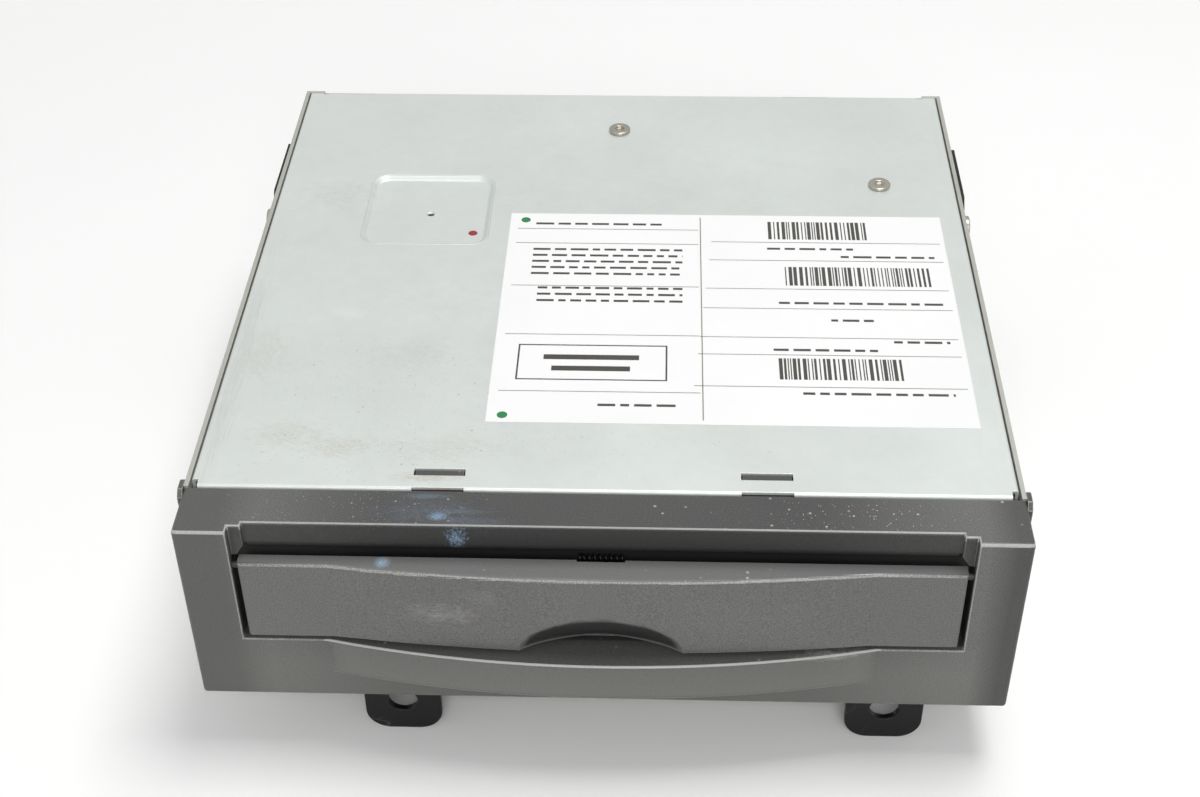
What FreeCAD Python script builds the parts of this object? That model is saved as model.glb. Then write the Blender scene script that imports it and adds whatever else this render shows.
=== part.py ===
import FreeCAD, Part
import math
import os
import re

import Sketcher

# Car navigation disc reader in a one-slot dash casing.
# Lengths are in millimetres. X points right, Y points to the back, Z points up.
# Pieces are drawn with Y = 0 on the front face of the bezel and Z = 0 on the surface
# that the bracket stands on; every placement then shifts Y to the middle of the depth.

Vector = FreeCAD.Vector
doc = FreeCAD.newDocument("DiscReader")

# Driving dimensions
SIZES = [
    # Bezel
    ("bezel_width", 178.1, "width across the bezel"),
    ("bezel_height", 49.1, "height of the bezel"),
    ("bezel_depth", 13.7, "front face to casing"),
    ("bezel_wall", 2.2, "moulded wall"),
    ("bezel_round", 0.9, "outer edge radius"),
    ("window_half", 77.7, "middle to side of the flap window"),
    ("recess_half", 74.9, "middle to side of the hand recess"),
    ("recess_set", 3.35, "setback of the recess above the flap"),
    ("ledge_set", 2.2, "setback of the ledges beside the recess"),
    ("nose_drop", 5.2, "upright part of the recess face"),
    ("plate_front", 6.5, "setback of the slot plate"),
    ("plate_thick", 2.0, "slot plate"),
    ("sill_down", 31.4, "bezel top to the lip"),
    ("lip_height", 10.0, "height of the bowed lip"),
    ("lip_bow", 6.5, "how far the lip bows forward"),
    ("lip_half", 59.5, "middle to the end of the lip"),
    # Flap
    ("flap_width", 152.8, "width of the flap"),
    ("flap_down", 9.1, "bezel top to flap top"),
    ("flap_height", 21.1, "height of the flap"),
    ("flap_thick", 3.1, "thickness at the flap ends"),
    ("flap_wall", 1.6, "flap wall"),
    ("flap_bow", 3.5, "how far the flap bows forward"),
    ("flap_bow_half", 57.5, "middle to the end of the bow"),
    ("flap_round", 0.8, "flap edge radius"),
    ("scoop_half", 18.2, "half width of the finger scoop"),
    ("scoop_height", 10.7, "height of the finger scoop"),
    ("scoop_depth", 5.2, "depth of the finger scoop"),
    ("notch_width", 10.2, "spring notch in the flap top"),
    ("notch_depth", 0.55, "depth of the spring notch"),
    ("pin_radius", 0.8, "flap pivot pin"),
    ("pin_back", 1.7, "front face to pin axis"),
    ("pin_down", 1.5, "flap top to pin axis"),
    ("run_fit", 0.05, "radial clearance of shafts in holes"),
    # Slot, button and light
    ("slot_down", 20.0, "bezel top to the middle of the slot"),
    ("slot_height", 7.0, "height of the disc slot"),
    ("slot_half", 62.0, "half width of the disc slot"),
    ("felt_thick", 1.0, "dust strip"),
    ("button_x", 69.6, "middle of the eject button"),
    ("button_width", 9.0, "eject button width"),
    ("button_height", 6.0, "eject button height"),
    ("button_reach", 1.5, "button in front of the slot plate"),
    ("button_gap", 0.2, "play round the button"),
    ("button_travel", 0.8, "press travel"),
    ("light_radius", 1.5, "light window"),
    # Casing
    ("casing_width", 178.0, "width across the casing"),
    ("casing_depth", 167.8, "bezel to the rear wall"),
    ("sheet", 1.0, "chassis sheet"),
    ("cover_sheet", 0.8, "cover sheet"),
    ("cover_rise", 0.7, "cover above the bezel"),
    ("cover_seam", 0.35, "gap between cover and side walls"),
    ("cover_flange", 9.0, "height of the side flanges"),
    ("front_flange", 4.0, "height of the front flange"),
    ("rear_flange", 6.0, "height of the rear flange"),
    ("hook_x", 34.9, "middle of the cover slots"),
    ("hook_width", 11.0, "width of the cover slots"),
    ("hook_slot_y", 18.1, "front face to the cover slots"),
    ("hook_slot_len", 2.2, "length of the cover slots"),
    ("panel_x", -47.9, "middle of the sunk panel"),
    ("panel_y", 121.2, "front face to middle of the sunk panel"),
    ("panel_side", 32.0, "side of the sunk panel"),
    ("panel_depth", 0.9, "depth of the sunk panel"),
    ("panel_corner", 4.5, "corner of the sunk panel"),
    ("label_x", 27.8, "middle of the label"),
    ("label_y", 77.8, "front face to middle of the label"),
    ("label_width", 108.8, "label width"),
    ("label_length", 83.4, "label length"),
    ("label_thick", 0.12, "label paper"),
    ("rear_screw_y", 160.6, "rear cover screw from the front"),
    ("side_screw_x", 68.2, "right cover screw from the middle"),
    ("side_screw_y", 134.1, "right cover screw from the front"),
    ("screw_head", 2.85, "cover screw head radius"),
    ("screw_shank", 1.4, "cover screw shank radius"),
    # Bracket
    ("foot_drop", 16.2, "bezel bottom to the foot of the ears"),
    ("plate", 1.6, "bracket plate"),
    ("ear_set", 5.0, "front face to the front ears"),
    ("ear_width", 17.4, "ear width"),
    ("ear_corner", 5.5, "ear corner radius"),
    ("ear_left_x", -45.5, "left ear"),
    ("ear_right_x", 63.4, "right ear"),
    ("ear_hole", 3.3, "ear hole radius"),
    ("ear_hole_z", 9.3, "ear hole above the foot"),
    ("rear_ear_x", 55.0, "rear ears from the middle"),
    ("rear_ear_y", 165.0, "front face to the rear ears"),
    ("wing_front", 128.0, "front end of the side wings"),
    ("wing_length", 34.0, "side wing length"),
    ("wing_down", 2.0, "bezel top to the top of the wings"),
    ("case_screw", 3.0, "side screw head radius"),
    ("case_screw_y", 124.5, "rear side screws"),
    ("rivet_front_y", 56.0, "front frame rivets"),
    ("case_screw_down", 5.5, "bezel top to the side screws"),
    ("case_screw_head", 1.8, "side screw head thickness"),
    # Loader
    ("frame_half", 73.0, "middle to the outside of the loader frame"),
    ("frame_start", 18.0, "front end of the loader frame"),
    ("frame_end", 166.0, "rear end of the loader frame"),
    ("disc_y", 82.0, "front face to the spindle"),
    ("turntable_radius", 14.0, "turntable"),
    ("spindle_radius", 1.0, "spindle shaft"),
    ("motor_radius", 9.0, "spindle motor"),
    ("deck_half", 67.0, "half width of the floating deck"),
    ("deck_above_board", 11.7, "board to floating deck"),
    ("deck_thick", 1.2, "floating deck"),
    ("damper_height", 6.0, "rubber dampers"),
    ("damper_radius", 3.5, "rubber dampers"),
    ("rod_radius", 1.5, "guide rods"),
    ("rod_spread", 18.0, "guide rods from the spindle"),
    ("sled_start", 24.0, "spindle to lens at rest"),
    ("sled_travel", 33.0, "lens travel"),
    ("screw_pitch", 3.0, "lead screw pitch"),
    ("screw_radius", 1.3, "lead screw"),
    ("roller_y", 22.0, "front face to the roller"),
    ("roller_radius", 4.0, "feed roller"),
    ("roller_shaft_r", 1.5, "roller shaft"),
    ("clamp_pivot_y", 150.0, "front face to the clamp arm pivot"),
    ("clamp_lift", 8.8, "clamper above the turntable"),
    # Gears
    ("module", 0.8, "gear module"),
    ("gear_width", 2.2, "tooth width"),
    ("gear_gap", 0.4, "gap between gear layers"),
    # Electronics
    ("board_half", 80.0, "half width of the main board"),
    ("board_start", 26.0, "front end of the main board"),
    ("board_end", 176.0, "rear end of the main board"),
    ("board_thick", 1.6, "circuit boards"),
    ("board_lift", 5.5, "chassis floor to the main board"),
    ("socket_reach", 8.0, "antenna sockets behind the casing"),
    ("socket_left_x", 28.0, "first antenna socket"),
    ("socket_right_x", 52.0, "second antenna socket"),
    ("socket_radius", 4.0, "antenna socket barrel"),
    ("socket_lift", 7.5, "main board to the socket axis"),
    ("plug_reach", 6.0, "wiring connector behind the casing"),
    ("plug_left", -58.0, "left side of the wiring connector"),
    ("plug_right", -6.0, "right side of the wiring connector"),
    ("plug_height", 13.7, "height of the wiring connector"),
]

# Places worked out from the driving dimensions
PLACES = [
    ("top_z", "foot_drop + bezel_height"),
    ("cover_z", "top_z + cover_rise"),
    ("cover_under", "cover_z - cover_sheet"),
    ("side_x", "casing_width / 2"),
    ("inner_x", "side_x - sheet"),
    ("cover_x", "inner_x - cover_seam"),
    ("floor_z", "foot_drop + sheet"),
    ("case_rear", "bezel_depth + casing_depth"),
    ("inner_rear", "case_rear - sheet"),
    ("shift_y", "(lip_bow - case_rear - socket_reach) / 2"),
    ("half_bezel", "bezel_width / 2"),
    ("sill_z", "top_z - sill_down"),
    ("lip_low_z", "sill_z - lip_height"),
    ("plate_back", "plate_front + plate_thick"),
    ("flap_top", "top_z - flap_down"),
    ("flap_low", "flap_top - flap_height"),
    ("flap_x", "flap_width / 2"),
    ("pin_z", "flap_top - pin_down"),
    ("window_top", "flap_top + 0.7"),
    ("lip_radius", "(lip_half ^ 2 + lip_bow ^ 2) / (2 * lip_bow)"),
    ("flap_radius", "(flap_bow_half ^ 2 + flap_bow ^ 2) / (2 * flap_bow)"),
    ("slot_z", "top_z - slot_down"),
    ("slot_low", "slot_z - slot_height / 2"),
    ("slot_top", "slot_z + slot_height / 2"),
    ("cover_start", "bezel_depth + 0.1"),
    ("cover_end", "inner_rear - 0.15"),
    ("board_z", "floor_z + board_lift"),
    ("board_top", "board_z + board_thick"),
    ("deck_z", "board_top + deck_above_board"),
    ("deck_top", "deck_z + deck_thick"),
    ("tab_top", "deck_z - damper_height"),
    ("turntable_z", "slot_low - 1.2"),
    ("frame_top", "cover_under - 0.1 - panel_depth"),
    ("wall_x", "frame_half - sheet"),
    ("roller_z", "slot_low + 0.3 - roller_radius"),
    ("rod_z", "deck_z - 3 - rod_radius"),
    ("lens_x", "sled_start"),
    ("clamper_z", "turntable_z + clamp_lift"),
    ("arm_z", "clamper_z + 3.6"),
    ("gear_x", "-frame_half - 0.6"),
    ("gear_x2", "gear_x - gear_width - gear_gap"),
    ("loading_y", "roller_y + module * 16"),
    ("pinion_y", "loading_y + module * 20 * cos(32 deg)"),
    ("pinion_z", "roller_z - module * 20 * sin(32 deg)"),
    ("wing_x", "side_x + plate"),
    ("rivet_z", "slot_z + 5"),
    ("wall_low", "board_top + 2.7"),
    ("arm_pivot_z", "arm_z + 4"),
    ("lead_y", "disc_y + rod_spread + 6"),
    ("rod_front_y", "disc_y - rod_spread"),
    ("rod_back_y", "disc_y + rod_spread"),
]

WORD = re.compile(r"[A-Za-z_][A-Za-z_0-9]*")
SIZE_NAMES = {row[0] for row in SIZES}
PLACE_NAMES = {row[0] for row in PLACES}


def qualify(text):
    """Put the sheet's name before every alias in an expression."""
    def owner(match):
        word = match.group(0)
        if word in SIZE_NAMES:
            return "Sizes." + word
        if word in PLACE_NAMES:
            return "Places." + word
        return word
    return WORD.sub(owner, str(text))


sizes = doc.addObject("Spreadsheet::Sheet", "Sizes")
for row, (alias, value, meaning) in enumerate(SIZES, start=1):
    sizes.set("A%d" % row, meaning)
    sizes.set("B%d" % row, str(value))
    sizes.setAlias("B%d" % row, alias)
doc.recompute()

places = doc.addObject("Spreadsheet::Sheet", "Places")
for row, (alias, formula) in enumerate(PLACES, start=1):
    places.set("A%d" % row, alias.replace("_", " "))
    places.setAlias("B%d" % row, alias)
    places.set("B%d" % row, "=" + qualify(formula).replace("Places.", ""))
doc.recompute()


def val(text):
    """Value of an expression in millimetres."""
    return float(sizes.evalExpression(qualify(text)))


# Sketch helpers
NORMALS = {"XY": 1, "XZ": -1, "YZ": 1}


def new_body(label):
    """Start a body that carries one piece."""
    body = doc.addObject("PartDesign::Body", label)
    body.Label = label
    return body


def new_sketch(body, plane, level):
    """Sketch on one of the body's origin planes, moved to a level along its axis."""
    sketch = body.newObject("Sketcher::SketchObject", body.Name + "_sketch")
    role = plane + "_Plane"
    base = [item for item in body.Origin.OriginFeatures if item.Role == role][0]
    sketch.AttachmentSupport = [(base, "")]
    sketch.MapMode = "FlatFace"
    sign = "" if NORMALS[plane] > 0 else "-"
    sketch.setExpression("AttachmentOffset.Base.z", "%s(%s)" % (sign, qualify(level)))
    return sketch


def fix_point(sketch, edge, end, x, y):
    """Hold an end of an edge at two expressions."""
    for kind, text in (("DistanceX", x), ("DistanceY", y)):
        index = sketch.addConstraint(Sketcher.Constraint(kind, -1, 1, edge, end, val(text)))
        sketch.setExpression("Constraints[%d]" % index, qualify(text))


def draw_outline(sketch, points, radii=None):
    """Closed outline through expression points; radii maps an edge's number to an arc.

    A radius is positive where the arc bulges to the right of the direction of travel.
    """
    radii = radii or {}
    first = sketch.GeometryCount
    count = len(points)
    spots = [Vector(val(x), val(y), 0) for x, y in points]
    for number in range(count):
        start, end = spots[number], spots[(number + 1) % count]
        if number in radii:
            text = radii[number]
            radius = val(text)
            middle = (start + end) / 2
            chord = end - start
            side = Vector(chord.y, -chord.x, 0).normalize() * math.copysign(1, radius)
            rise = abs(radius) - math.sqrt(radius ** 2 - (chord.Length / 2) ** 2)
            arc = Part.Arc(start, middle + side * rise, end)
            sketch.addGeometry(arc)
        else:
            sketch.addGeometry(Part.LineSegment(start, end))
    # An arc that turns clockwise has its two ends swapped
    swapped = [number in radii and val(radii[number]) < 0 for number in range(count)]
    for number in range(count):
        after = (number + 1) % count
        sketch.addConstraint(Sketcher.Constraint(
            "Coincident", first + number, 1 if swapped[number] else 2,
            first + after, 2 if swapped[after] else 1))
    for number, (x, y) in enumerate(points):
        fix_point(sketch, first + number, 2 if swapped[number] else 1, x, y)
    for number, text in radii.items():
        edge = first + number
        index = sketch.addConstraint(Sketcher.Constraint("Radius", edge, abs(val(text))))
        sketch.setExpression("Constraints[%d]" % index, "abs(%s)" % qualify(text))


def rectangle(body, plane, level, x0, x1, y0, y1):
    """Sketch with one rectangle."""
    sketch = new_sketch(body, plane, level)
    draw_outline(sketch, [(x0, y0), (x1, y0), (x1, y1), (x0, y1)])
    return sketch


def outline(body, plane, level, points, radii=None):
    """Sketch with one closed outline."""
    sketch = new_sketch(body, plane, level)
    draw_outline(sketch, points, radii)
    return sketch


def circles(body, plane, level, spots):
    """Sketch with circles, each given as x, y and radius."""
    sketch = new_sketch(body, plane, level)
    for x, y, radius in spots:
        edge = sketch.GeometryCount
        sketch.addGeometry(Part.Circle(Vector(val(x), val(y), 0), Vector(0, 0, 1), val(radius)))
        fix_point(sketch, edge, 3, x, y)
        index = sketch.addConstraint(Sketcher.Constraint("Radius", edge, val(radius)))
        sketch.setExpression("Constraints[%d]" % index, qualify(radius))
    return sketch


def plane_of(sketch):
    """Letters of the plane that a sketch is attached to."""
    return sketch.AttachmentSupport[0][0].Role[:2]


def pad(sketch, length, along=1):
    """Pad a sketch along the positive or negative world axis."""
    body = sketch.getParentGeoFeatureGroup()
    feature = body.newObject("PartDesign::Pad", body.Name + "_pad")
    feature.Profile = sketch
    feature.setExpression("Length", qualify(length))
    feature.Reversed = along != NORMALS[plane_of(sketch)]
    doc.recompute()
    return feature


def pocket(sketch, length, along=1):
    """Cut a sketch along the positive or negative world axis and check that it cuts."""
    body = sketch.getParentGeoFeatureGroup()
    before = body.Tip.Shape.Volume
    feature = body.newObject("PartDesign::Pocket", body.Name + "_pocket")
    feature.Profile = sketch
    feature.setExpression("Length", qualify(length))
    feature.Reversed = along == NORMALS[plane_of(sketch)]
    doc.recompute()
    if feature.Shape.Volume >= before - 1e-6:
        raise RuntimeError("pocket cuts nothing in " + body.Label)
    return feature


def fillet(body, radius, chosen):
    """Round the edges of the body's tip that the test picks by their middle point."""
    tip = body.Tip
    names = []
    for number, edge in enumerate(tip.Shape.Edges, start=1):
        middle = edge.valueAt((edge.FirstParameter + edge.LastParameter) / 2)
        if chosen(middle, edge):
            names.append("Edge%d" % number)
    feature = body.newObject("PartDesign::Fillet", body.Name + "_fillet")
    feature.Base = (tip, names)
    feature.setExpression("Radius", qualify(radius))
    doc.recompute()
    return feature


def near(value, text, slack=0.01):
    """True where a coordinate equals an expression."""
    return abs(value - val(text)) < slack


# Primitive helpers
TURNS = {
    "X": FreeCAD.Rotation(Vector(0, 1, 0), 90),
    "Y": FreeCAD.Rotation(Vector(1, 0, 0), -90),
    "Z": FreeCAD.Rotation(),
}


def box(name, x0, x1, y0, y1, z0, z1):
    """Block between expression limits."""
    item = doc.addObject("Part::Box", name)
    for side, low, high, letter in (("Length", x0, x1, "x"), ("Width", y0, y1, "y"),
                                    ("Height", z0, z1, "z")):
        item.setExpression(side, "(%s) - (%s)" % (qualify(high), qualify(low)))
        item.setExpression("Placement.Base." + letter, qualify(low))
    return item


def rod(name, axis, x, y, z, radius, length):
    """Cylinder from a start point along the positive direction of an axis."""
    item = doc.addObject("Part::Cylinder", name)
    item.Placement.Rotation = TURNS[axis]
    for letter, text in (("x", x), ("y", y), ("z", z)):
        item.setExpression("Placement.Base." + letter, qualify(text))
    item.setExpression("Radius", qualify(radius))
    item.setExpression("Height", qualify(length))
    return item


def join(name, items):
    """Fuse several solids."""
    if len(items) == 1:
        return items[0]
    item = doc.addObject("Part::MultiFuse", name)
    item.Shapes = items
    item.Refine = True
    return item


def cut(name, base, tools):
    """Cut tools out of a base."""
    item = doc.addObject("Part::Cut", name)
    item.Base = base
    item.Tool = join(name + "_tools", tools)
    return item


def group(name, items):
    """Separate solids that share a node."""
    item = doc.addObject("Part::Compound", name)
    item.Links = items
    return item


pieces = []


def finish(item, label):
    """Name a piece, move it to the middle of the depth and keep it for export."""
    if item.TypeId in ("Part::Box", "Part::Cylinder"):
        item = group(label + "_piece", [item])
    item.Label = label
    item.setExpression("Placement.Base.y", qualify("shift_y"))
    pieces.append(item)
    return item


# Front bezel: an open-backed moulding with a window, a hand recess and a bowed lip
def make_bezel():
    bezel = new_body("bezel_body")
    pad(rectangle(bezel, "XZ", "0", "-half_bezel", "half_bezel", "foot_drop", "top_z"),
        "bezel_depth")
    fillet(bezel, "bezel_round", lambda p, e: near(p.y, "0")
           or (e.Length > val("bezel_depth") - 0.1 and abs(p.y - val("bezel_depth") / 2) < 0.1))
    pocket(rectangle(bezel, "XZ", "plate_back", "bezel_wall - half_bezel",
                     "half_bezel - bezel_wall", "foot_drop + bezel_wall", "top_z - bezel_wall"),
           "bezel_depth")
    # Window for the flap and the recess above it
    pocket(rectangle(bezel, "XZ", "0", "-window_half", "window_half", "sill_z", "window_top"),
           "plate_front")
    pocket(rectangle(bezel, "XZ", "0", "-window_half", "window_half", "window_top - 1",
                     "top_z + 1"), "ledge_set")
    nose = outline(bezel, "YZ", "-recess_half",
                   [("-1", "top_z + 1"), ("-1", "window_top - 1"),
                    ("plate_front", "window_top - 1"),
                    ("plate_front", "top_z - nose_drop - plate_front + recess_set"),
                    ("recess_set", "top_z - nose_drop"), ("recess_set", "top_z + 1")],
                   {3: "recess_set - plate_front - 0.1"})
    pocket(nose, "recess_half * 2", 1)
    # Flared lower corners of the two ledges
    for side in (-1, 1):
        flare = outline(bezel, "XZ", "0",
                        [("%d * (recess_half - 0.5)" % side, "window_top - 1"),
                         ("%d * (recess_half - 0.5)" % side, "window_top + 2.6"),
                         ("%d * recess_half" % side, "window_top + 2.6"),
                         ("%d * (recess_half + 1.7)" % side, "window_top"),
                         ("%d * (recess_half + 1.7)" % side, "window_top - 1")])
        pocket(flare, "plate_front")
        # Hollow pillar
        pocket(rectangle(bezel, "XZ", "bezel_wall",
                         "%d * (half_bezel - bezel_wall)" % side,
                         "%d * (window_half + bezel_wall)" % side,
                         "foot_drop + bezel_wall", "top_z - bezel_wall"), "bezel_depth")
    # Hollow lower panel and hollow above the recess
    pocket(rectangle(bezel, "XZ", "bezel_wall", "-window_half", "window_half",
                     "foot_drop + bezel_wall", "sill_z - bezel_wall"), "bezel_depth")
    pocket(rectangle(bezel, "XZ", "recess_set + bezel_wall", "2 - recess_half",
                     "recess_half - 2", "top_z - nose_drop", "top_z - bezel_wall"),
           "bezel_depth")
    # Bowed lip, hollow behind
    lip = outline(bezel, "XY", "lip_low_z",
                  [("-lip_half", "0"), ("lip_half", "0"), ("lip_half", "bezel_wall / 2"),
                   ("-lip_half", "bezel_wall / 2")], {0: "lip_radius"})
    pad(lip, "lip_height")
    hollow = outline(bezel, "XY", "lip_low_z + bezel_wall",
                     [("-lip_half + 9", "bezel_wall"), ("lip_half - 9", "bezel_wall"),
                      ("lip_half - 9", "bezel_wall + 0.5"),
                      ("-lip_half + 9", "bezel_wall + 0.5")], {0: "lip_radius * 0.93"})
    pocket(hollow, "lip_height - bezel_wall * 2", 1)
    # Disc slot, button hole, light hole and pin holes
    pocket(rectangle(bezel, "XZ", "plate_front - 1", "-slot_half", "slot_half", "slot_low",
                     "slot_top"), "plate_thick + 3")
    pocket(rectangle(bezel, "XZ", "plate_front - 1",
                     "button_x - button_width / 2 - button_gap",
                     "button_x + button_width / 2 + button_gap",
                     "slot_z - button_height / 2 - button_gap",
                     "slot_z + button_height / 2 + button_gap"), "plate_thick + 2")
    pocket(circles(bezel, "XZ", "plate_front - 1", [("-button_x", "slot_z",
                                                     "light_radius + run_fit")]),
           "plate_thick + 2")
    pocket(circles(bezel, "YZ", "-window_half - bezel_wall - 0.5",
                   [("pin_back", "pin_z", "pin_radius + run_fit")]),
           "window_half * 2 + bezel_wall * 2 + 1", 1)
    # Hook tongues that pass under the cover and side arms that grip the casing
    for side in (-1, 1):
        middle = "%d * hook_x" % side
        pad(rectangle(bezel, "XZ", "bezel_depth - 1.5", middle + " - hook_width / 2 + 0.3",
                      middle + " + hook_width / 2 - 0.3", "cover_under - 2",
                      "cover_under - 0.2"), "hook_slot_y + hook_slot_len - bezel_depth + 1.4")
        pad(rectangle(bezel, "XZ", "hook_slot_y + 0.2", middle + " - hook_width / 2 + 0.3",
                      middle + " + hook_width / 2 - 0.3", "cover_under - 1",
                      "cover_under + 0.4"), "hook_slot_len - 0.4")
        arm = outline(bezel, "YZ", "side_x + 0.05" if side > 0 else "-side_x - 1.15",
                      [("bezel_depth - 2.2", "top_z - 6"), ("bezel_depth + 1.6", "top_z - 6"),
                       ("bezel_depth + 3.2", "top_z - 4.4"), ("bezel_depth + 3.2", "top_z - 1.2"),
                       ("bezel_depth + 1.6", "top_z + 0.4"), ("bezel_depth - 0.8", "top_z + 0.4"),
                       ("bezel_depth - 2.2", "top_z - 1")],
                      {1: "1.65", 3: "1.65"})
        pad(arm, "1.1")
        foot = rectangle(bezel, "YZ", "half_bezel - 1.5" if side > 0 else "-side_x - 1.1",
                         "bezel_depth - 2.2", "bezel_depth - 0.01", "top_z - 6", "top_z - 1")
        pad(foot, "side_x + 1.1 - half_bezel + 1.5")
    return finish(bezel, "front_bezel")


# Flap: bowed face, hollow behind, with a finger scoop at its lower edge
def make_flap():
    flap = new_body("flap_body")
    plan = outline(flap, "XY", "flap_low",
                   [("-flap_x", "0"), ("-flap_bow_half", "0"), ("flap_bow_half", "0"),
                    ("flap_x", "0"), ("flap_x", "flap_thick"), ("-flap_x", "flap_thick")],
                   {1: "flap_radius"})
    pad(plan, "flap_height")
    fillet(flap, "flap_round", lambda p, e: p.y < 0.02 and abs(p.z - val("flap_top")) < 0.01
           or (p.y < 0.02 and abs(abs(p.x) - val("flap_x")) < 0.01))
    block = "scoop_half + 3"
    for side in (-1, 1):
        ends = ["%d * (%s)" % (side, block), "%d * (flap_x - 5)" % side]
        if side < 0:
            ends.reverse()
        pocket(rectangle(flap, "XZ", "flap_wall", ends[0], ends[1], "flap_low + flap_wall",
                         "flap_top - flap_wall - 1.4"), "flap_thick")
        inner = outline(flap, "XY", "flap_low + flap_wall",
                        [("%d * (%s)" % (side, block), "flap_wall + 0.2"),
                         ("%d * (%s)" % (side, block), "flap_wall - flap_bow + 0.6"),
                         ("%d * (flap_bow_half - 3)" % side, "flap_wall")])
        pocket(inner, "flap_height - flap_wall * 2 - 1.4", 1)
    pocket(rectangle(flap, "XZ", "flap_wall - flap_bow + 0.3", "-(%s)" % block, block,
                     "flap_low + scoop_height + 2.2", "flap_top - flap_wall - 1.4"),
           "flap_thick + flap_bow")
    pocket(rectangle(flap, "XZ", "flap_thick - notch_depth", "-notch_width / 2",
                     "notch_width / 2", "flap_top - flap_wall - 1", "flap_top + 0.5"),
           "notch_depth + 1")
    pocket(circles(flap, "YZ", "-flap_x - 0.5", [("pin_back", "pin_z", "pin_radius")]), "4.5", 1)
    pocket(circles(flap, "YZ", "flap_x + 0.5", [("pin_back", "pin_z", "pin_radius")]), "4.5", -1)
    # The scoop is lofted through three half ellipses that shrink towards the back
    sections = []
    for number, (depth, wide, high) in enumerate((
            ("0 - flap_bow - 0.1", "scoop_half", "scoop_height"),
            ("0 - flap_bow - 0.1 + scoop_depth * 0.6", "scoop_half * 0.655",
             "scoop_height * 0.41"),
            ("scoop_depth - flap_bow - 0.1", "scoop_half * 0.2", "scoop_height * 0.06"))):
        ring = doc.addObject("Part::Ellipse", "scoop_ring%d" % number)
        ring.setExpression("MajorRadius", qualify(wide))
        ring.setExpression("MinorRadius", qualify(high))
        ring.Placement.Rotation = FreeCAD.Rotation(Vector(1, 0, 0), 90)
        ring.setExpression("Placement.Base.y", qualify(depth))
        ring.setExpression("Placement.Base.z", qualify("flap_low"))
        sections.append(ring)
    loft = doc.addObject("Part::Loft", "scoop")
    loft.Sections = sections
    loft.Solid = True
    finish(cut("flap_shell", flap, [loft]), "flap")
    pins = []
    for side in (-1, 1):
        start = "flap_x - 3.9" if side > 0 else "-window_half - 2"
        pins.append(rod("flap_pin_%s" % ("right" if side > 0 else "left"), "X", start,
                        "pin_back", "pin_z", "pin_radius", "window_half + 2 - flap_x + 3.9"))
    finish(group("pin_pair", pins), "flap_pins")
    coil = cut("coil", rod("coil_outer", "X", "-notch_width / 2 + 0.5", "plate_front - 1.25",
                           "pin_z + 0.6", "1.2", "notch_width - 1"),
               [rod("coil_bore", "X", "-notch_width / 2", "plate_front - 1.25", "pin_z + 0.6",
                    "0.7", "notch_width")])
    finish(coil, "flap_spring")


# Button, switch, light window, dust strips and the small board behind the bezel
def make_front_parts():
    low, high = "slot_z - button_height / 2", "slot_z + button_height / 2"
    cap = box("button_cap", "button_x - button_width / 2", "button_x + button_width / 2",
              "plate_front - button_reach", "plate_back + 0.2", low, high)
    rim = box("button_rim", "button_x - button_width / 2 - 1.2",
              "button_x + button_width / 2 + 1.2", "plate_back + 0.1", "plate_back + 0.9",
              low + " - 1.2", high + " + 1.2")
    rounded = doc.addObject("Part::Fillet", "button_round")
    body = join("button_solid", [cap, rim])
    doc.recompute()
    rounded.Base = body
    front = val("plate_front - button_reach")
    edges = [(number, 0.5, 0.5) for number, edge in enumerate(body.Shape.Edges, start=1)
             if edge.BoundBox.YMax < front + 0.01]
    rounded.Edges = edges
    finish(rounded, "eject_button")
    finish(rod("plunger", "Y", "button_x", "plate_back + 0.9", "slot_z", "1.2", "1.9"),
           "switch_plunger")
    board_y = "plate_back + 4"
    body = box("switch_case", "button_x - 3", "button_x + 3", "plate_back + 2",
               "plate_back + 4", "slot_z - 3", "slot_z + 3")
    bore = rod("switch_bore", "Y", "button_x", "plate_back + 1.5", "slot_z", "1.25", "2.2")
    finish(cut("switch_solid", body, [bore]), "eject_switch")
    plate = box("front_plate", "slot_half + 1.3", "half_bezel - bezel_wall - 0.3", board_y,
                board_y + " + board_thick", "slot_z - 16", "slot_z + 13")
    finish(cut("front_plate_holed", plate,
               [rod("front_hole%d" % n, "Y", "button_x + 8", "plate_back", z, "1.3", "8")
                for n, z in enumerate(("slot_z - 11", "slot_z + 9"))]), "front_board")
    posts = []
    screws = []
    for number, z in enumerate(("slot_z - 11", "slot_z + 9")):
        posts.append(cut("post%d" % number,
                         rod("post_solid%d" % number, "Y", "button_x + 8", "plate_back",
                             z, "2.3", "4"),
                         [rod("post_bore%d" % number, "Y", "button_x + 8", "plate_back + 0.5",
                              z, "1", "5")]))
        screws.append(join("board_screw%d" % number, [
            rod("bs_shank%d" % number, "Y", "button_x + 8", "plate_back + 1", z, "0.95",
                "3 + board_thick"),
            rod("bs_head%d" % number, "Y", "button_x + 8", board_y + " + board_thick", z,
                "2.1", "1.2")]))
    finish(group("board_posts", posts), "front_board_posts")
    finish(group("board_screw_pair", screws), "front_board_screws")
    window = join("window_solid", [
        rod("window_lens", "Y", "-button_x", "plate_front - 0.3", "slot_z", "light_radius",
            "plate_thick + 0.4"),
        rod("window_rim", "Y", "-button_x", "plate_back", "slot_z", "light_radius + 0.9", "0.8")])
    finish(window, "light_window")
    for name, low_z in (("lower", "slot_low"), ("upper", "slot_top - felt_thick")):
        finish(box("felt_" + name, "-slot_half", "slot_half", "plate_front + 0.5",
                   "plate_back - 0.2", low_z, low_z + " + felt_thick"), "felt_strip_" + name)


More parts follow.
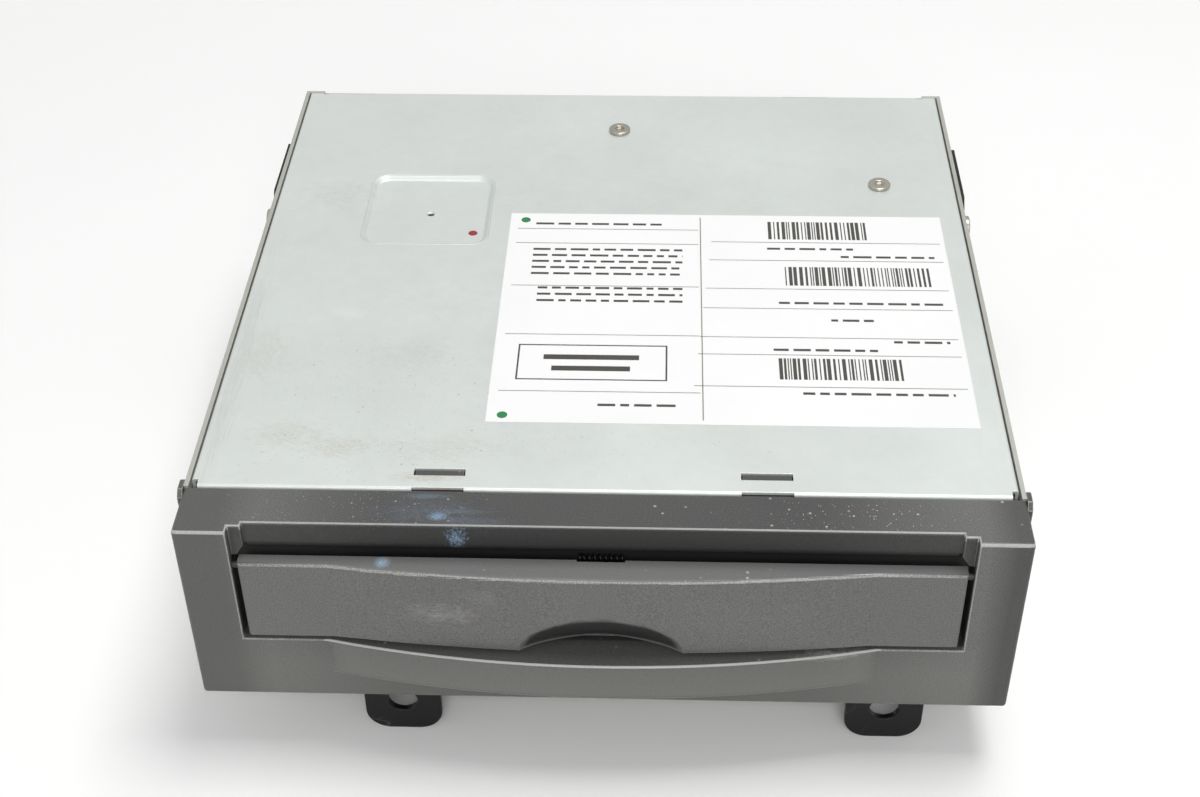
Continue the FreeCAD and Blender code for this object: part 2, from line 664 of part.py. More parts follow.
# Chassis tray: floor, side walls and rear wall from one sheet
def make_chassis():
    tray = new_body("tray_body")
    top = "cover_z - 0.25"
    pad(rectangle(tray, "XY", "foot_drop", "-side_x", "side_x", "cover_start", "case_rear"),
        "cover_z - 0.25 - foot_drop")
    fillet(tray, "1.2", lambda p, e: e.Length > 100 and near(p.z, "foot_drop")
           and abs(abs(p.x) - val("side_x")) < 0.01 or (near(p.z, "foot_drop")
           and near(p.y, "case_rear")))
    pocket(rectangle(tray, "XY", "floor_z", "-inner_x", "inner_x", "0", "inner_rear"),
           "bezel_height + 5", 1)
    # Rear wall stands lower between its two corner tabs
    pocket(rectangle(tray, "XZ", "inner_rear - 1", "-83.8", "84", "cover_under - 0.1",
                     "cover_z + 1"), "sheet + 2")
    # Openings in the rear wall for the connector, the sockets and cooling air
    pocket(rectangle(tray, "XZ", "inner_rear - 1", "plug_left - 0.4", "plug_right + 0.4",
                     "board_top - 0.4", "board_top + plug_height + 0.4"), "sheet + 2")
    pocket(circles(tray, "XZ", "inner_rear - 1",
                   [("socket_left_x", "board_top + socket_lift", "socket_radius + 0.4"),
                    ("socket_right_x", "board_top + socket_lift", "socket_radius + 0.4")]),
           "sheet + 2")
    for column in range(9):
        x = "%d" % (-60 + 15 * column)
        pocket(rectangle(tray, "XZ", "inner_rear - 1", x + " - 4.5", x + " + 4.5",
                         "cover_under - 9", "cover_under - 7"), "sheet + 2")
    for side in (-1, 1):
        level = "-side_x - 1" if side < 0 else "inner_x - 1"
        for column in range(6):
            y = "%d" % (58 + 9 * column)
            pocket(rectangle(tray, "YZ", level, y + " - 3", y + " + 3", "cover_under - 24",
                             "cover_under - 22"), "sheet + 2")
            pocket(rectangle(tray, "YZ", level, y + " - 3", y + " + 3", "cover_under - 30",
                             "cover_under - 28"), "sheet + 2")
        pocket(circles(tray, "YZ", level,
                       [("case_screw_y", "top_z - case_screw_down", "1.6"),
                        ("rivet_front_y", "rivet_z", "1.5"),
                        ("case_screw_y", "rivet_z", "1.5"),
                        ("wing_front + 9", "foot_drop + 13", "1.7"),
                        ("wing_front + 25", "foot_drop + 13", "1.7")]), "sheet + 2")
    # Standoffs pressed up from the floor carry the main board
    spots = [("72", "40"), ("-72", "40"), ("72", "100"), ("-72", "100"), ("72", "168"),
             ("-72", "160")]
    pad(circles(tray, "XY", "floor_z - 0.5", [(x, y, "3") for x, y in spots]),
        "board_lift + 0.5")
    pocket(circles(tray, "XY", "foot_drop - 1", [(x, y, "1.3") for x, y in spots]), "12", 1)
    finish(tray, "chassis_tray")
    screws = []
    for number, (x, y) in enumerate(spots):
        screws.append(join("main_screw%d" % number, [
            rod("main_shank%d" % number, "Z", x, y, "board_z - 4", "1.25", "4 + board_thick"),
            rod("main_head%d" % number, "Z", x, y, "board_top", "2.7", "1.6")]))
    finish(group("main_screws", screws), "main_board_screws")
    sheet_film = box("film", "-board_half + 2", "board_half - 2", "board_start + 2",
                     "board_end - 2", "floor_z", "floor_z + 0.3")
    holes = [rod("film_hole%d" % number, "Z", x, y, "floor_z - 1", "3.3", "3")
             for number, (x, y) in enumerate(spots)]
    finish(cut("film_cut", sheet_film, holes), "insulating_film")
    return spots


# Top cover: plate with four folded flanges, slots, notches and a sunk panel
def make_cover():
    cover = new_body("cover_body")
    pad(rectangle(cover, "XY", "cover_z - cover_flange", "-cover_x", "cover_x", "cover_start",
                  "cover_end"), "cover_flange")
    fillet(cover, "0.7", lambda p, e: near(p.z, "cover_z"))
    pocket(rectangle(cover, "XY", "cover_under", "cover_sheet - cover_x",
                     "cover_x - cover_sheet", "cover_start + cover_sheet",
                     "cover_end - cover_sheet"), "cover_flange + 1", -1)
    # Front and rear flanges are lower than the side flanges
    pocket(rectangle(cover, "XZ", "cover_start - 1", "-cover_x - 1", "cover_x + 1",
                     "cover_z - cover_flange - 1", "cover_z - front_flange"), "cover_sheet + 1")
    pocket(rectangle(cover, "XZ", "cover_end - cover_sheet", "-cover_x - 1", "cover_x + 1",
                     "cover_z - cover_flange - 1", "cover_z - rear_flange"), "cover_sheet + 1")
    for side in (-1, 1):
        level = "-cover_x - 1" if side < 0 else "cover_x - cover_sheet - 1"
        pocket(circles(cover, "YZ", level, [("case_screw_y", "top_z - case_screw_down", "1.25")]),
               "cover_sheet + 2", 1)
    # Front flange ends short of the side walls and is notched for the hook tongues
    for side in (-1, 1):
        middle = "%d * hook_x" % side
        pocket(rectangle(cover, "XZ", "cover_start - 1", middle + " - hook_width / 2",
                         middle + " + hook_width / 2", "cover_z - cover_flange - 1",
                         "cover_z + 1"), "1.45")
        pocket(rectangle(cover, "XZ", "cover_start - 1", middle + " - hook_width / 2",
                         middle + " + hook_width / 2", "cover_under - 2.2", "cover_under"),
               "cover_sheet + 2")
        pocket(rectangle(cover, "XY", "cover_z + 1", middle + " - hook_width / 2",
                         middle + " + hook_width / 2", "hook_slot_y",
                         "hook_slot_y + hook_slot_len"), "cover_sheet + 3", -1)
        ends = ["%d * (cover_x - 1.5)" % side, "%d * (cover_x + 1)" % side]
        if side < 0:
            ends.reverse()
        pocket(rectangle(cover, "XY", "cover_z + 1", ends[0], ends[1], "cover_start - 1",
                         "cover_start + 2"), "cover_flange + 3", -1)
        ends = ["%d * 82.3" % side, "%d * 83.8" % side]
        if side < 0:
            ends.reverse()
        pocket(rectangle(cover, "XY", "cover_z + 1", ends[0], ends[1], "cover_end - 1",
                         "cover_end + 1"), "cover_flange + 3", -1)
    for left, right in (("-82.3", "-69.2"), ("45", "57.6")):
        pocket(rectangle(cover, "XY", "cover_z + 1", left, right, "cover_end - 0.7",
                         "cover_end + 1"), "cover_flange + 3", -1)
    # Sunk square panel with a hole in its middle
    half = "panel_side / 2"
    pad(rectangle(cover, "XY", "cover_under + 0.1", "panel_x - %s - 0.8" % half,
                  "panel_x + %s + 0.8" % half, "panel_y - %s - 0.8" % half,
                  "panel_y + %s + 0.8" % half), "panel_depth + 0.1", -1)
    sunk = pocket(rectangle(cover, "XY", "cover_z + 0.01", "panel_x - " + half,
                            "panel_x + " + half, "panel_y - " + half, "panel_y + " + half),
                  "panel_depth", -1)
    bottom = val("cover_z") - val("panel_depth") + 0.01
    inside = val("panel_side") / 2 - 0.01
    fillet(cover, "panel_corner", lambda p, e: bottom < p.z < val("cover_z")
           and abs(abs(p.x - val("panel_x")) - val("panel_side") / 2) < 0.02
           and abs(abs(p.y - val("panel_y")) - val("panel_side") / 2) < 0.02)
    fillet(cover, "0.35", lambda p, e: (near(p.z, "cover_z", 0.015)
           or abs(p.z - bottom) < 0.015)
           and abs(p.x - val("panel_x")) < inside + 0.6
           and abs(p.y - val("panel_y")) < inside + 0.6)
    pocket(circles(cover, "XY", "cover_z + 1",
                   [("0", "rear_screw_y", "screw_shank + 0.2"),
                    ("side_screw_x", "side_screw_y", "screw_shank + 0.2"),
                    ("panel_x + 0.5", "panel_y - 1.1", "1.0")]), "4", -1)
    finish(cover, "top_cover")
    screws = []
    for number, (x, y) in enumerate((("0", "rear_screw_y"), ("side_screw_x", "side_screw_y"))):
        head = rod("cover_head%d" % number, "Z", x, y, "cover_z", "screw_head", "1.0")
        doc.recompute()
        dome = doc.addObject("Part::Fillet", "cover_dome%d" % number)
        dome.Base = head
        dome.Edges = [(n, 0.4, 0.4) for n, edge in enumerate(head.Shape.Edges, start=1)
                      if edge.BoundBox.ZMin > val("cover_z") + 0.9]
        shank = rod("cover_shank%d" % number, "Z", x, y, "frame_top - 2", "screw_shank",
                    "cover_z - frame_top + 2.2")
        socket = doc.addObject("Part::Prism", "cover_socket%d" % number)
        socket.Polygon = 6
        socket.Circumradius = 1.25
        socket.Height = 2
        for letter, text in (("x", x), ("y", y), ("z", "cover_z + 0.3")):
            socket.setExpression("Placement.Base." + letter, qualify(text))
        screws.append(cut("cover_screw%d" % number,
                          join("cover_screw_solid%d" % number, [dome, shank]), [socket]))
    finish(group("cover_screw_pair", screws), "cover_screws")
    finish(box("label", "label_x - label_width / 2", "label_x + label_width / 2",
               "label_y - label_length / 2", "label_y + label_length / 2", "cover_z",
               "cover_z + label_thick"), "label_sticker")


# Mounting bracket: plate under the casing, front and rear ears, side wings
def make_bracket():
    bracket = new_body("bracket_body")
    plan = outline(bracket, "XY", "foot_drop - plate",
                   [("-wing_x", "wing_front"), ("-78", "wing_front"), ("-78", "30"),
                    ("ear_left_x - ear_width / 2", "30"),
                    ("ear_left_x - ear_width / 2", "ear_set"),
                    ("ear_left_x + ear_width / 2", "ear_set"),
                    ("ear_left_x + ear_width / 2", "30"),
                    ("ear_right_x - ear_width / 2", "30"),
                    ("ear_right_x - ear_width / 2", "ear_set"),
                    ("ear_right_x + ear_width / 2", "ear_set"),
                    ("ear_right_x + ear_width / 2", "30"), ("78", "30"),
                    ("78", "wing_front"), ("wing_x", "wing_front"),
                    ("wing_x", "wing_front + wing_length"), ("78", "wing_front + wing_length"),
                    ("78", "rear_ear_y"), ("-78", "rear_ear_y"),
                    ("-78", "wing_front + wing_length"),
                    ("-wing_x", "wing_front + wing_length")])
    pad(plan, "plate")
    pocket(rectangle(bracket, "XY", "foot_drop + 1", "-56", "56", "48", "86"), "plate + 2", -1)
    pocket(rectangle(bracket, "XY", "foot_drop + 1", "-56", "56", "98", "140"), "plate + 2", -1)
    for x in ("ear_left_x", "ear_right_x"):
        pad(ear_outline(bracket, "ear_set", x), "plate")
    for x in ("-rear_ear_x", "rear_ear_x"):
        pad(ear_outline(bracket, "rear_ear_y - plate", x), "plate")
    for side in (-1, 1):
        wing = outline(bracket, "YZ", "side_x" if side > 0 else "-wing_x",
                       [("wing_front", "foot_drop - plate"),
                        ("wing_front + wing_length", "foot_drop - plate"),
                        ("wing_front + wing_length", "top_z - wing_down - 5"),
                        ("wing_front + wing_length - 5", "top_z - wing_down"),
                        ("wing_front + 6", "top_z - wing_down"),
                        ("wing_front", "top_z - wing_down - 6")])
        pad(wing, "plate")
        level = "-wing_x - 1" if side < 0 else "side_x - 1"
        pocket(circles(bracket, "YZ", level,
                       [("wing_front + 9", "foot_drop + 13", "1.9"),
                        ("wing_front + 25", "foot_drop + 13", "1.9")]), "plate + 2")
        fillet(bracket, "1.2", lambda p, e: near(p.z, "foot_drop - plate")
               and abs(p.x - side * val("wing_x")) < 0.01)
    pocket(circles(bracket, "XZ", "ear_set - 1",
                   [("ear_left_x", "ear_hole_z", "ear_hole"),
                    ("ear_right_x", "ear_hole_z", "ear_hole")]), "plate + 2")
    pocket(circles(bracket, "XZ", "rear_ear_y - plate - 1",
                   [("-rear_ear_x", "ear_hole_z", "ear_hole"),
                    ("rear_ear_x", "ear_hole_z", "ear_hole")]), "plate + 2")
    fillet(bracket, "1.2", lambda p, e: near(p.z, "foot_drop")
           and near(p.y, "ear_set"))
    finish(bracket, "mounting_bracket")
    screws = []
    for side in (-1, 1):
        for number, y in enumerate(("wing_front + 9", "wing_front + 25")):
            name = "%s%d" % ("left" if side < 0 else "right", number)
            shank_x = "-wing_x" if side < 0 else "inner_x - 3"
            head_x = "-wing_x - 1.5" if side < 0 else "wing_x"
            screws.append(join("wing_screw_" + name, [
                rod("wing_shank_" + name, "X", shank_x, y, "foot_drop + 13", "1.5",
                    "wing_x - inner_x + 3"),
                rod("wing_head_" + name, "X", head_x, y, "foot_drop + 13", "3.2", "1.5")]))
    finish(group("wing_screws", screws), "bracket_screws")


def ear_outline(body, level, x):
    """Tongue with two round lower corners."""
    left, right = x + " - ear_width / 2", x + " + ear_width / 2"
    return outline(body, "XZ", level,
                   [(left, "foot_drop"), (left, "ear_corner"), (left + " + ear_corner", "0"),
                    (right + " - ear_corner", "0"), (right, "ear_corner"), (right, "foot_drop")],
                   {1: "ear_corner", 3: "ear_corner"})


# Screws that hold the cover's side flanges and rivets that hold the loader frame
def make_side_fixings():
    screws = []
    rivets = []
    for side, word in ((-1, "left"), (1, "right")):
        z = "top_z - case_screw_down"
        screws.append(join("case_screw_" + word, [
            rod("case_shank_" + word, "X", "-side_x" if side < 0 else "cover_x - 3",
                "case_screw_y", z, "1.2", "side_x - cover_x + 3"),
            rod("case_head_" + word, "X",
                "-side_x - case_screw_head" if side < 0 else "side_x", "case_screw_y", z,
                "case_screw", "case_screw_head")]))
        for number, y in enumerate(("rivet_front_y", "case_screw_y")):
            name = word + str(number)
            rivets.append(join("rivet_" + name, [
                rod("rivet_shank_" + name, "X", "-side_x + 0.1" if side < 0 else "inner_x - 1.4",
                    y, "rivet_z", "1.4", "sheet + 1.3"),
                rod("rivet_head_" + name, "X", "-inner_x + 1" if side < 0 else "inner_x - 1.8",
                    y, "rivet_z", "2.5", "0.8")]))
    finish(group("case_screw_pair", screws), "side_screws")
    finish(group("rivet_set", rivets), "frame_rivets")


# Loader frame: folded sheet that hangs between the side walls
def make_frame():
    frame = new_body("frame_body")
    pad(rectangle(frame, "XY", "wall_low", "-frame_half", "frame_half", "frame_start",
                  "frame_end"), "frame_top - wall_low")
    fillet(frame, "1.5", lambda p, e: near(p.z, "frame_top")
           and abs(abs(p.x) - val("frame_half")) < 0.01)
    pocket(rectangle(frame, "XY", "frame_top - sheet", "-wall_x", "wall_x",
                     "frame_start - 1", "frame_end + 1"), "frame_top", -1)
    for side in (-1, 1):
        middle = "%d * hook_x" % side
        pocket(rectangle(frame, "XY", "frame_top + 1", middle + " - hook_width / 2 - 1",
                         middle + " + hook_width / 2 + 1", "frame_start - 1",
                         "hook_slot_y + hook_slot_len + 1"), "sheet + 2", -1)
    window = outline(frame, "XY", "frame_top + 1",
                     [("-18", "58"), ("18", "58"), ("44", "100"), ("44", "138"),
                      ("-44", "138"), ("-44", "100")])
    pocket(window, "sheet + 2", -1)
    for x0, x1, y0, y1 in (("-62", "-28", "30", "52"), ("28", "62", "30", "52"),
                           ("-64", "-52", "66", "128"), ("52", "62", "66", "124")):
        pocket(rectangle(frame, "XY", "frame_top + 1", x0, x1, y0, y1), "sheet + 2", -1)
    for side in (-1, 1):
        level = "-frame_half - 1" if side < 0 else "wall_x - 1"
        pocket(rectangle(frame, "YZ", level, "62", "116", "slot_z - 2", "frame_top - 6"),
               "sheet + 2", 1)
        pocket(circles(frame, "YZ", level, [("roller_y", "roller_z", "2.9")]),
               "sheet + 2", 1)
        # Arms that reach the casing
        for y in ("rivet_front_y", "case_screw_y"):
            ends = ["%d * wall_x" % side, "%d * inner_x" % side]
            upright = ["%d * (inner_x - sheet)" % side, "%d * inner_x" % side]
            if side < 0:
                ends.reverse()
                upright.reverse()
            pad(rectangle(frame, "XY", "rivet_z - 5", ends[0], ends[1], y + " - 5", y + " + 5"),
                "sheet")
            pad(rectangle(frame, "XY", "rivet_z - 4.5", upright[0], upright[1], y + " - 5",
                          y + " + 5"), "8.5")
            level2 = "-inner_x - 1" if side < 0 else "inner_x - sheet - 1"
            pocket(circles(frame, "YZ", level2, [(y, "rivet_z", "1.5")]), "sheet + 1.5", 1)
        # Shelves for the rubber dampers
        for y in DAMPERS[side]:
            ends = ["%d * 54" % side, "%d * (frame_half - 0.5)" % side]
            if side < 0:
                ends.reverse()
            pad(rectangle(frame, "XY", "tab_top", ends[0], ends[1], y + " - 5", y + " + 5"),
                "sheet", -1)
            pocket(circles(frame, "XY", "tab_top + 1", [("%d * 60" % side, y, "1.3")]), "4", -1)
        # Ears that carry the clamp arm rod
        ends = ["%d * 44" % side, "%d * (44 + sheet)" % side]
        if side < 0:
            ends.reverse()
        pad(rectangle(frame, "XY", "frame_top - 0.5", ends[0], ends[1], "clamp_pivot_y - 4",
                      "clamp_pivot_y + 4"), "frame_top - arm_pivot_z + 3", -1)
    pocket(circles(frame, "YZ", "-50", [("clamp_pivot_y", "arm_pivot_z", "rod_radius")]),
           "100", 1)
    pocket(circles(frame, "YZ", "-frame_half - 1",
                   [("loading_y", "roller_z", "rod_radius"), ("pinion_y", "pinion_z", "2.5")]),
           "sheet + 2", 1)
    pocket(circles(frame, "XY", "frame_top + 1",
                   [("0", "rear_screw_y", "screw_shank + run_fit"),
                    ("side_screw_x", "side_screw_y", "screw_shank + run_fit")]),
           "sheet + 2", -1)
    finish(frame, "loader_frame")
    finish(box("upper_guide", "-wall_x", "wall_x", "frame_start - 3.4", "frame_start + 8",
               "slot_top + 0.1", "slot_top + 2.1"), "disc_guide")


DAMPERS = {-1: ("62", "132"), 1: ("46", "132")}


# Floating deck with the spindle motor, guide rods and lead screw bearings
def make_deck():
    deck = new_body("deck_body")
    plan = outline(deck, "XY", "deck_z",
                   [("8 - deck_half", "36"), ("deck_half - 8", "36"), ("deck_half", "44"),
                    ("deck_half", "134"), ("deck_half - 8", "142"), ("8 - deck_half", "142"),
                    ("-deck_half", "134"), ("-deck_half", "54"), ("-46", "54"), ("-46", "44"),
                    ("8 - deck_half", "40")])
    pad(plan, "deck_thick")
    pocket(rectangle(deck, "XY", "deck_top + 1", "16", "63.6", "disc_y - 7", "disc_y + 7"),
           "deck_thick + 2", -1)
    pocket(rectangle(deck, "XY", "deck_top + 1", "-44", "-24", "70", "96"),
           "deck_thick + 2", -1)
    pocket(rectangle(deck, "XY", "deck_top + 1", "-40", "40", "118", "130"),
           "deck_thick + 2", -1)
    pocket(circles(deck, "XY", "deck_top + 1",
                   [("0", "disc_y", "3")] + [("%d * 60" % side, y, "1.4")
                                             for side in (-1, 1) for y in DAMPERS[side]]),
           "deck_thick + 2", -1)
    for x in ("4", "64.8"):
        for y in ("rod_front_y", "rod_back_y", "lead_y"):
            pad(rectangle(deck, "XY", "deck_z + 0.5", x, x + " + 1.2", y + " - 3", y + " + 3"),
                "deck_z - rod_z + 3.2", -1)
    pad(rectangle(deck, "XY", "deck_z + 0.5", "-2", "-0.8", "lead_y - 5", "lead_y + 5"),
        "deck_z - rod_z + 3.2", -1)
    pocket(circles(deck, "YZ", "3",
                   [("rod_front_y", "rod_z", "rod_radius"), ("rod_back_y", "rod_z", "rod_radius"),
                    ("lead_y", "rod_z", "screw_radius + run_fit")]), "64", 1)
    pocket(circles(deck, "YZ", "-3", [("lead_y", "rod_z", "screw_radius + 0.4")]), "4", 1)
    finish(deck, "floating_deck")
    dampers, springs, screws = [], [], []
    for side, word in ((-1, "left"), (1, "right")):
        for number, y in enumerate(DAMPERS[side]):
            name = word + str(number)
            x = "%d * 60" % side
            body = join("damper_solid_" + name, [
                rod("damper_low_" + name, "Z", x, y, "tab_top", "damper_radius", "2.4"),
                rod("damper_neck_" + name, "Z", x, y, "tab_top", "damper_radius - 0.8",
                    "damper_height"),
                rod("damper_top_" + name, "Z", x, y, "deck_z - 2.4", "damper_radius", "2.4")])
            dampers.append(cut("damper_" + name, body,
                               [rod("damper_bore_" + name, "Z", x, y, "tab_top - 1", "1.3",
                                    "damper_height + 2")]))
            springs.append(cut("damper_coil_" + name,
                               rod("coil_out_" + name, "Z", x, y, "tab_top", "5.0",
                                   "damper_height"),
                               [rod("coil_in_" + name, "Z", x, y, "tab_top - 1", "4.4",
                                    "damper_height + 2")]))
            screws.append(join("deck_screw_" + name, [
                rod("deck_shank_" + name, "Z", x, y, "tab_top - 2", "1.2",
                    "damper_height + 2 + deck_thick"),
                rod("deck_head_" + name, "Z", x, y, "deck_top", "2.8", "1.2")]))
    finish(group("damper_set", dampers), "rubber_dampers")
    finish(group("damper_coils", springs), "damper_springs")
    finish(group("deck_screw_set", screws), "deck_screws")
    finish(join("spindle_motor_solid", [
        rod("motor_can", "Z", "0", "disc_y", "deck_z - 6.5", "motor_radius", "6.5"),
        rod("motor_neck", "Z", "0", "disc_y", "deck_z - 1", "2.6", "1 + deck_thick"),
        rod("motor_shaft", "Z", "0", "disc_y", "deck_z", "spindle_radius",
            "turntable_z + 0.6 - deck_z")]), "spindle_motor")
    rods = [rod("rod_" + word, "X", "4", y, "rod_z", "rod_radius", "62")
            for word, y in (("front", "rod_front_y"), ("back", "rod_back_y"))]
    finish(group("rod_pair", rods), "guide_rods")
    motor = join("sled_motor_solid", [
        rod("sled_can", "X", "-22", "lead_y", "rod_z", "4.4", "20"),
        rod("sled_cap", "X", "-23.2", "lead_y", "rod_z", "3.2", "1.4")])
    finish(cut("sled_motor_bored", motor,
               [rod("sled_motor_bore", "X", "-8", "lead_y", "rod_z", "screw_radius + run_fit",
                    "8")]), "sled_motor")


# Spinning and sliding pieces of the reading mechanism
def make_movers():
    table = join("turntable_solid", [
        rod("table_disc", "Z", "0", "disc_y", "turntable_z - 2", "turntable_radius", "2"),
        rod("table_boss", "Z", "0", "disc_y", "turntable_z - 2", "6.9", "3.2"),
        rod("table_hub", "Z", "0", "disc_y", "turntable_z - 2.8", "3.4", "3")])
    finish(cut("turntable_bored", table, [
        rod("table_bore", "Z", "0", "disc_y", "turntable_z - 4", "spindle_radius + run_fit",
            "8"),
        cut("table_ring", rod("table_ring_out", "Z", "0", "disc_y", "turntable_z - 0.4", "10.4",
                              "1"),
            [rod("table_ring_in", "Z", "0", "disc_y", "turntable_z - 0.5", "7.6", "1.2")])]),
        "turntable")
    puck = join("clamper_solid", [
        rod("puck_disc", "Z", "0", "disc_y", "clamper_z", "13", "2.4"),
        rod("puck_axle", "Z", "0", "disc_y", "clamper_z + 2", "2", "arm_z - clamper_z + 0.7"),
        rod("puck_head", "Z", "0", "disc_y", "arm_z + 1.5", "4", "1.2")])
    finish(cut("clamper_cut", puck, [
        rod("puck_recess", "Z", "0", "disc_y", "clamper_z - 1", "7.6", "2.4")]), "clamper")
    arm = new_body("arm_body")
    pad(outline(arm, "XY", "arm_z",
                [("-6", "disc_y - 10"), ("6", "disc_y - 10"), ("10", "disc_y - 4"),
                 ("42", "138"), ("42", "clamp_pivot_y - 3"), ("-42", "clamp_pivot_y - 3"),
                 ("-42", "138"), ("-10", "disc_y - 4")]), "deck_thick")
    pocket(outline(arm, "XY", "arm_z + 3", [("-5", "98"), ("5", "98"), ("22", "130"),
                                            ("-22", "130")]), "6", -1)
    pocket(circles(arm, "XY", "arm_z + 3", [("0", "disc_y", "2 + run_fit")]), "6", -1)
    for side in (-1, 1):
        ends = ["%d * 40.8" % side, "%d * 42" % side]
        if side < 0:
            ends.reverse()
        pad(rectangle(arm, "XY", "arm_z", ends[0], ends[1], "clamp_pivot_y - 8",
                      "clamp_pivot_y + 3"), "7")
    pocket(circles(arm, "YZ", "-45", [("clamp_pivot_y", "arm_pivot_z", "rod_radius + run_fit")]),
           "90", 1)
    finish(arm, "clamp_arm")
    finish(rod("arm_rod", "X", "-46", "clamp_pivot_y", "arm_pivot_z", "rod_radius", "92"),
           "clamp_arm_rod")
    finish(cut("arm_spring", rod("arm_spring_out", "X", "-9", "clamp_pivot_y", "arm_pivot_z",
                                 "2.6", "18"),
               [rod("arm_spring_in", "X", "-10", "clamp_pivot_y", "arm_pivot_z", "1.9", "20")]),
           "clamp_spring")
    sled = new_body("sled_body")
    low = "rod_z - 3.5"
    pad(outline(sled, "XY", low,
                [("lens_x - 14", "rod_front_y - 3"), ("lens_x + 6", "rod_front_y - 3"),
                 ("lens_x + 6", "rod_back_y + 3"), ("lens_x - 6", "rod_back_y + 3"),
                 ("lens_x - 6", "rod_back_y + 4.6"), ("lens_x - 10", "rod_back_y + 4.6"),
                 ("lens_x - 10", "rod_back_y + 3"), ("lens_x - 14", "rod_back_y + 3")]), "7")
    pad(rectangle(sled, "XY", low, "lens_x - 5", "lens_x + 5", "disc_y - 5", "disc_y + 5"),
        "deck_top + 1.6 - rod_z + 3.5")
    pocket(circles(sled, "YZ", "lens_x - 15",
                   [("rod_front_y", "rod_z", "rod_radius + run_fit"),
                    ("rod_back_y", "rod_z", "rod_radius + run_fit")]), "30", 1)
    pocket(rectangle(sled, "XY", low + " + 8", "lens_x - 12", "lens_x - 6.5", "disc_y - 9",
                     "disc_y + 9"), "4", -1)
    pocket(circles(sled, "XY", "deck_top + 3", [("lens_x", "disc_y", "2.4")]), "3", -1)
    finish(sled, "pickup_body")
    finish(rod("lens", "Z", "lens_x", "disc_y", "deck_top", "2.4", "2.2"), "pickup_lens")
    finish(rod("lead", "X", "-7", "lead_y", "rod_z", "screw_radius", "73"), "lead_screw")


def gear(name, teeth, start, y, z, phase):
    """Toothed disc between two planes across X, with one tooth at the phase angle."""
    body = new_body(name)
    pitch = "module * %d / 2" % teeth
    pad(circles(body, "YZ", start, [("0", "0", pitch + " - module * 1.05")]), "gear_width")
    points = []
    for side in (-1, 1):
        row = [(pitch + " - module * 1.3", "%s * 0.8" % side),
               (pitch + " - module * 0.9", "%s * 0.8" % side),
               (pitch, "%s * 0.51" % side), (pitch + " + module * 0.75", "%s * 0.24" % side)]
        points += row if side < 0 else row[::-1]
    tooth = pad(outline(body, "YZ", start, points), "gear_width")
    ring = body.newObject("PartDesign::PolarPattern", name + "_ring")
    ring.Originals = [tooth]
    axis = [item for item in body.Origin.OriginFeatures if item.Role == "X_Axis"][0]
    ring.Axis = (axis, [""])
    ring.Angle = 360
    ring.Occurrences = teeth
    body.Tip = ring
    body.Placement.Rotation = FreeCAD.Rotation(Vector(1, 0, 0), phase)
    body.setExpression("Placement.Base.y", qualify(y))
    body.setExpression("Placement.Base.z", qualify(z))
    return body


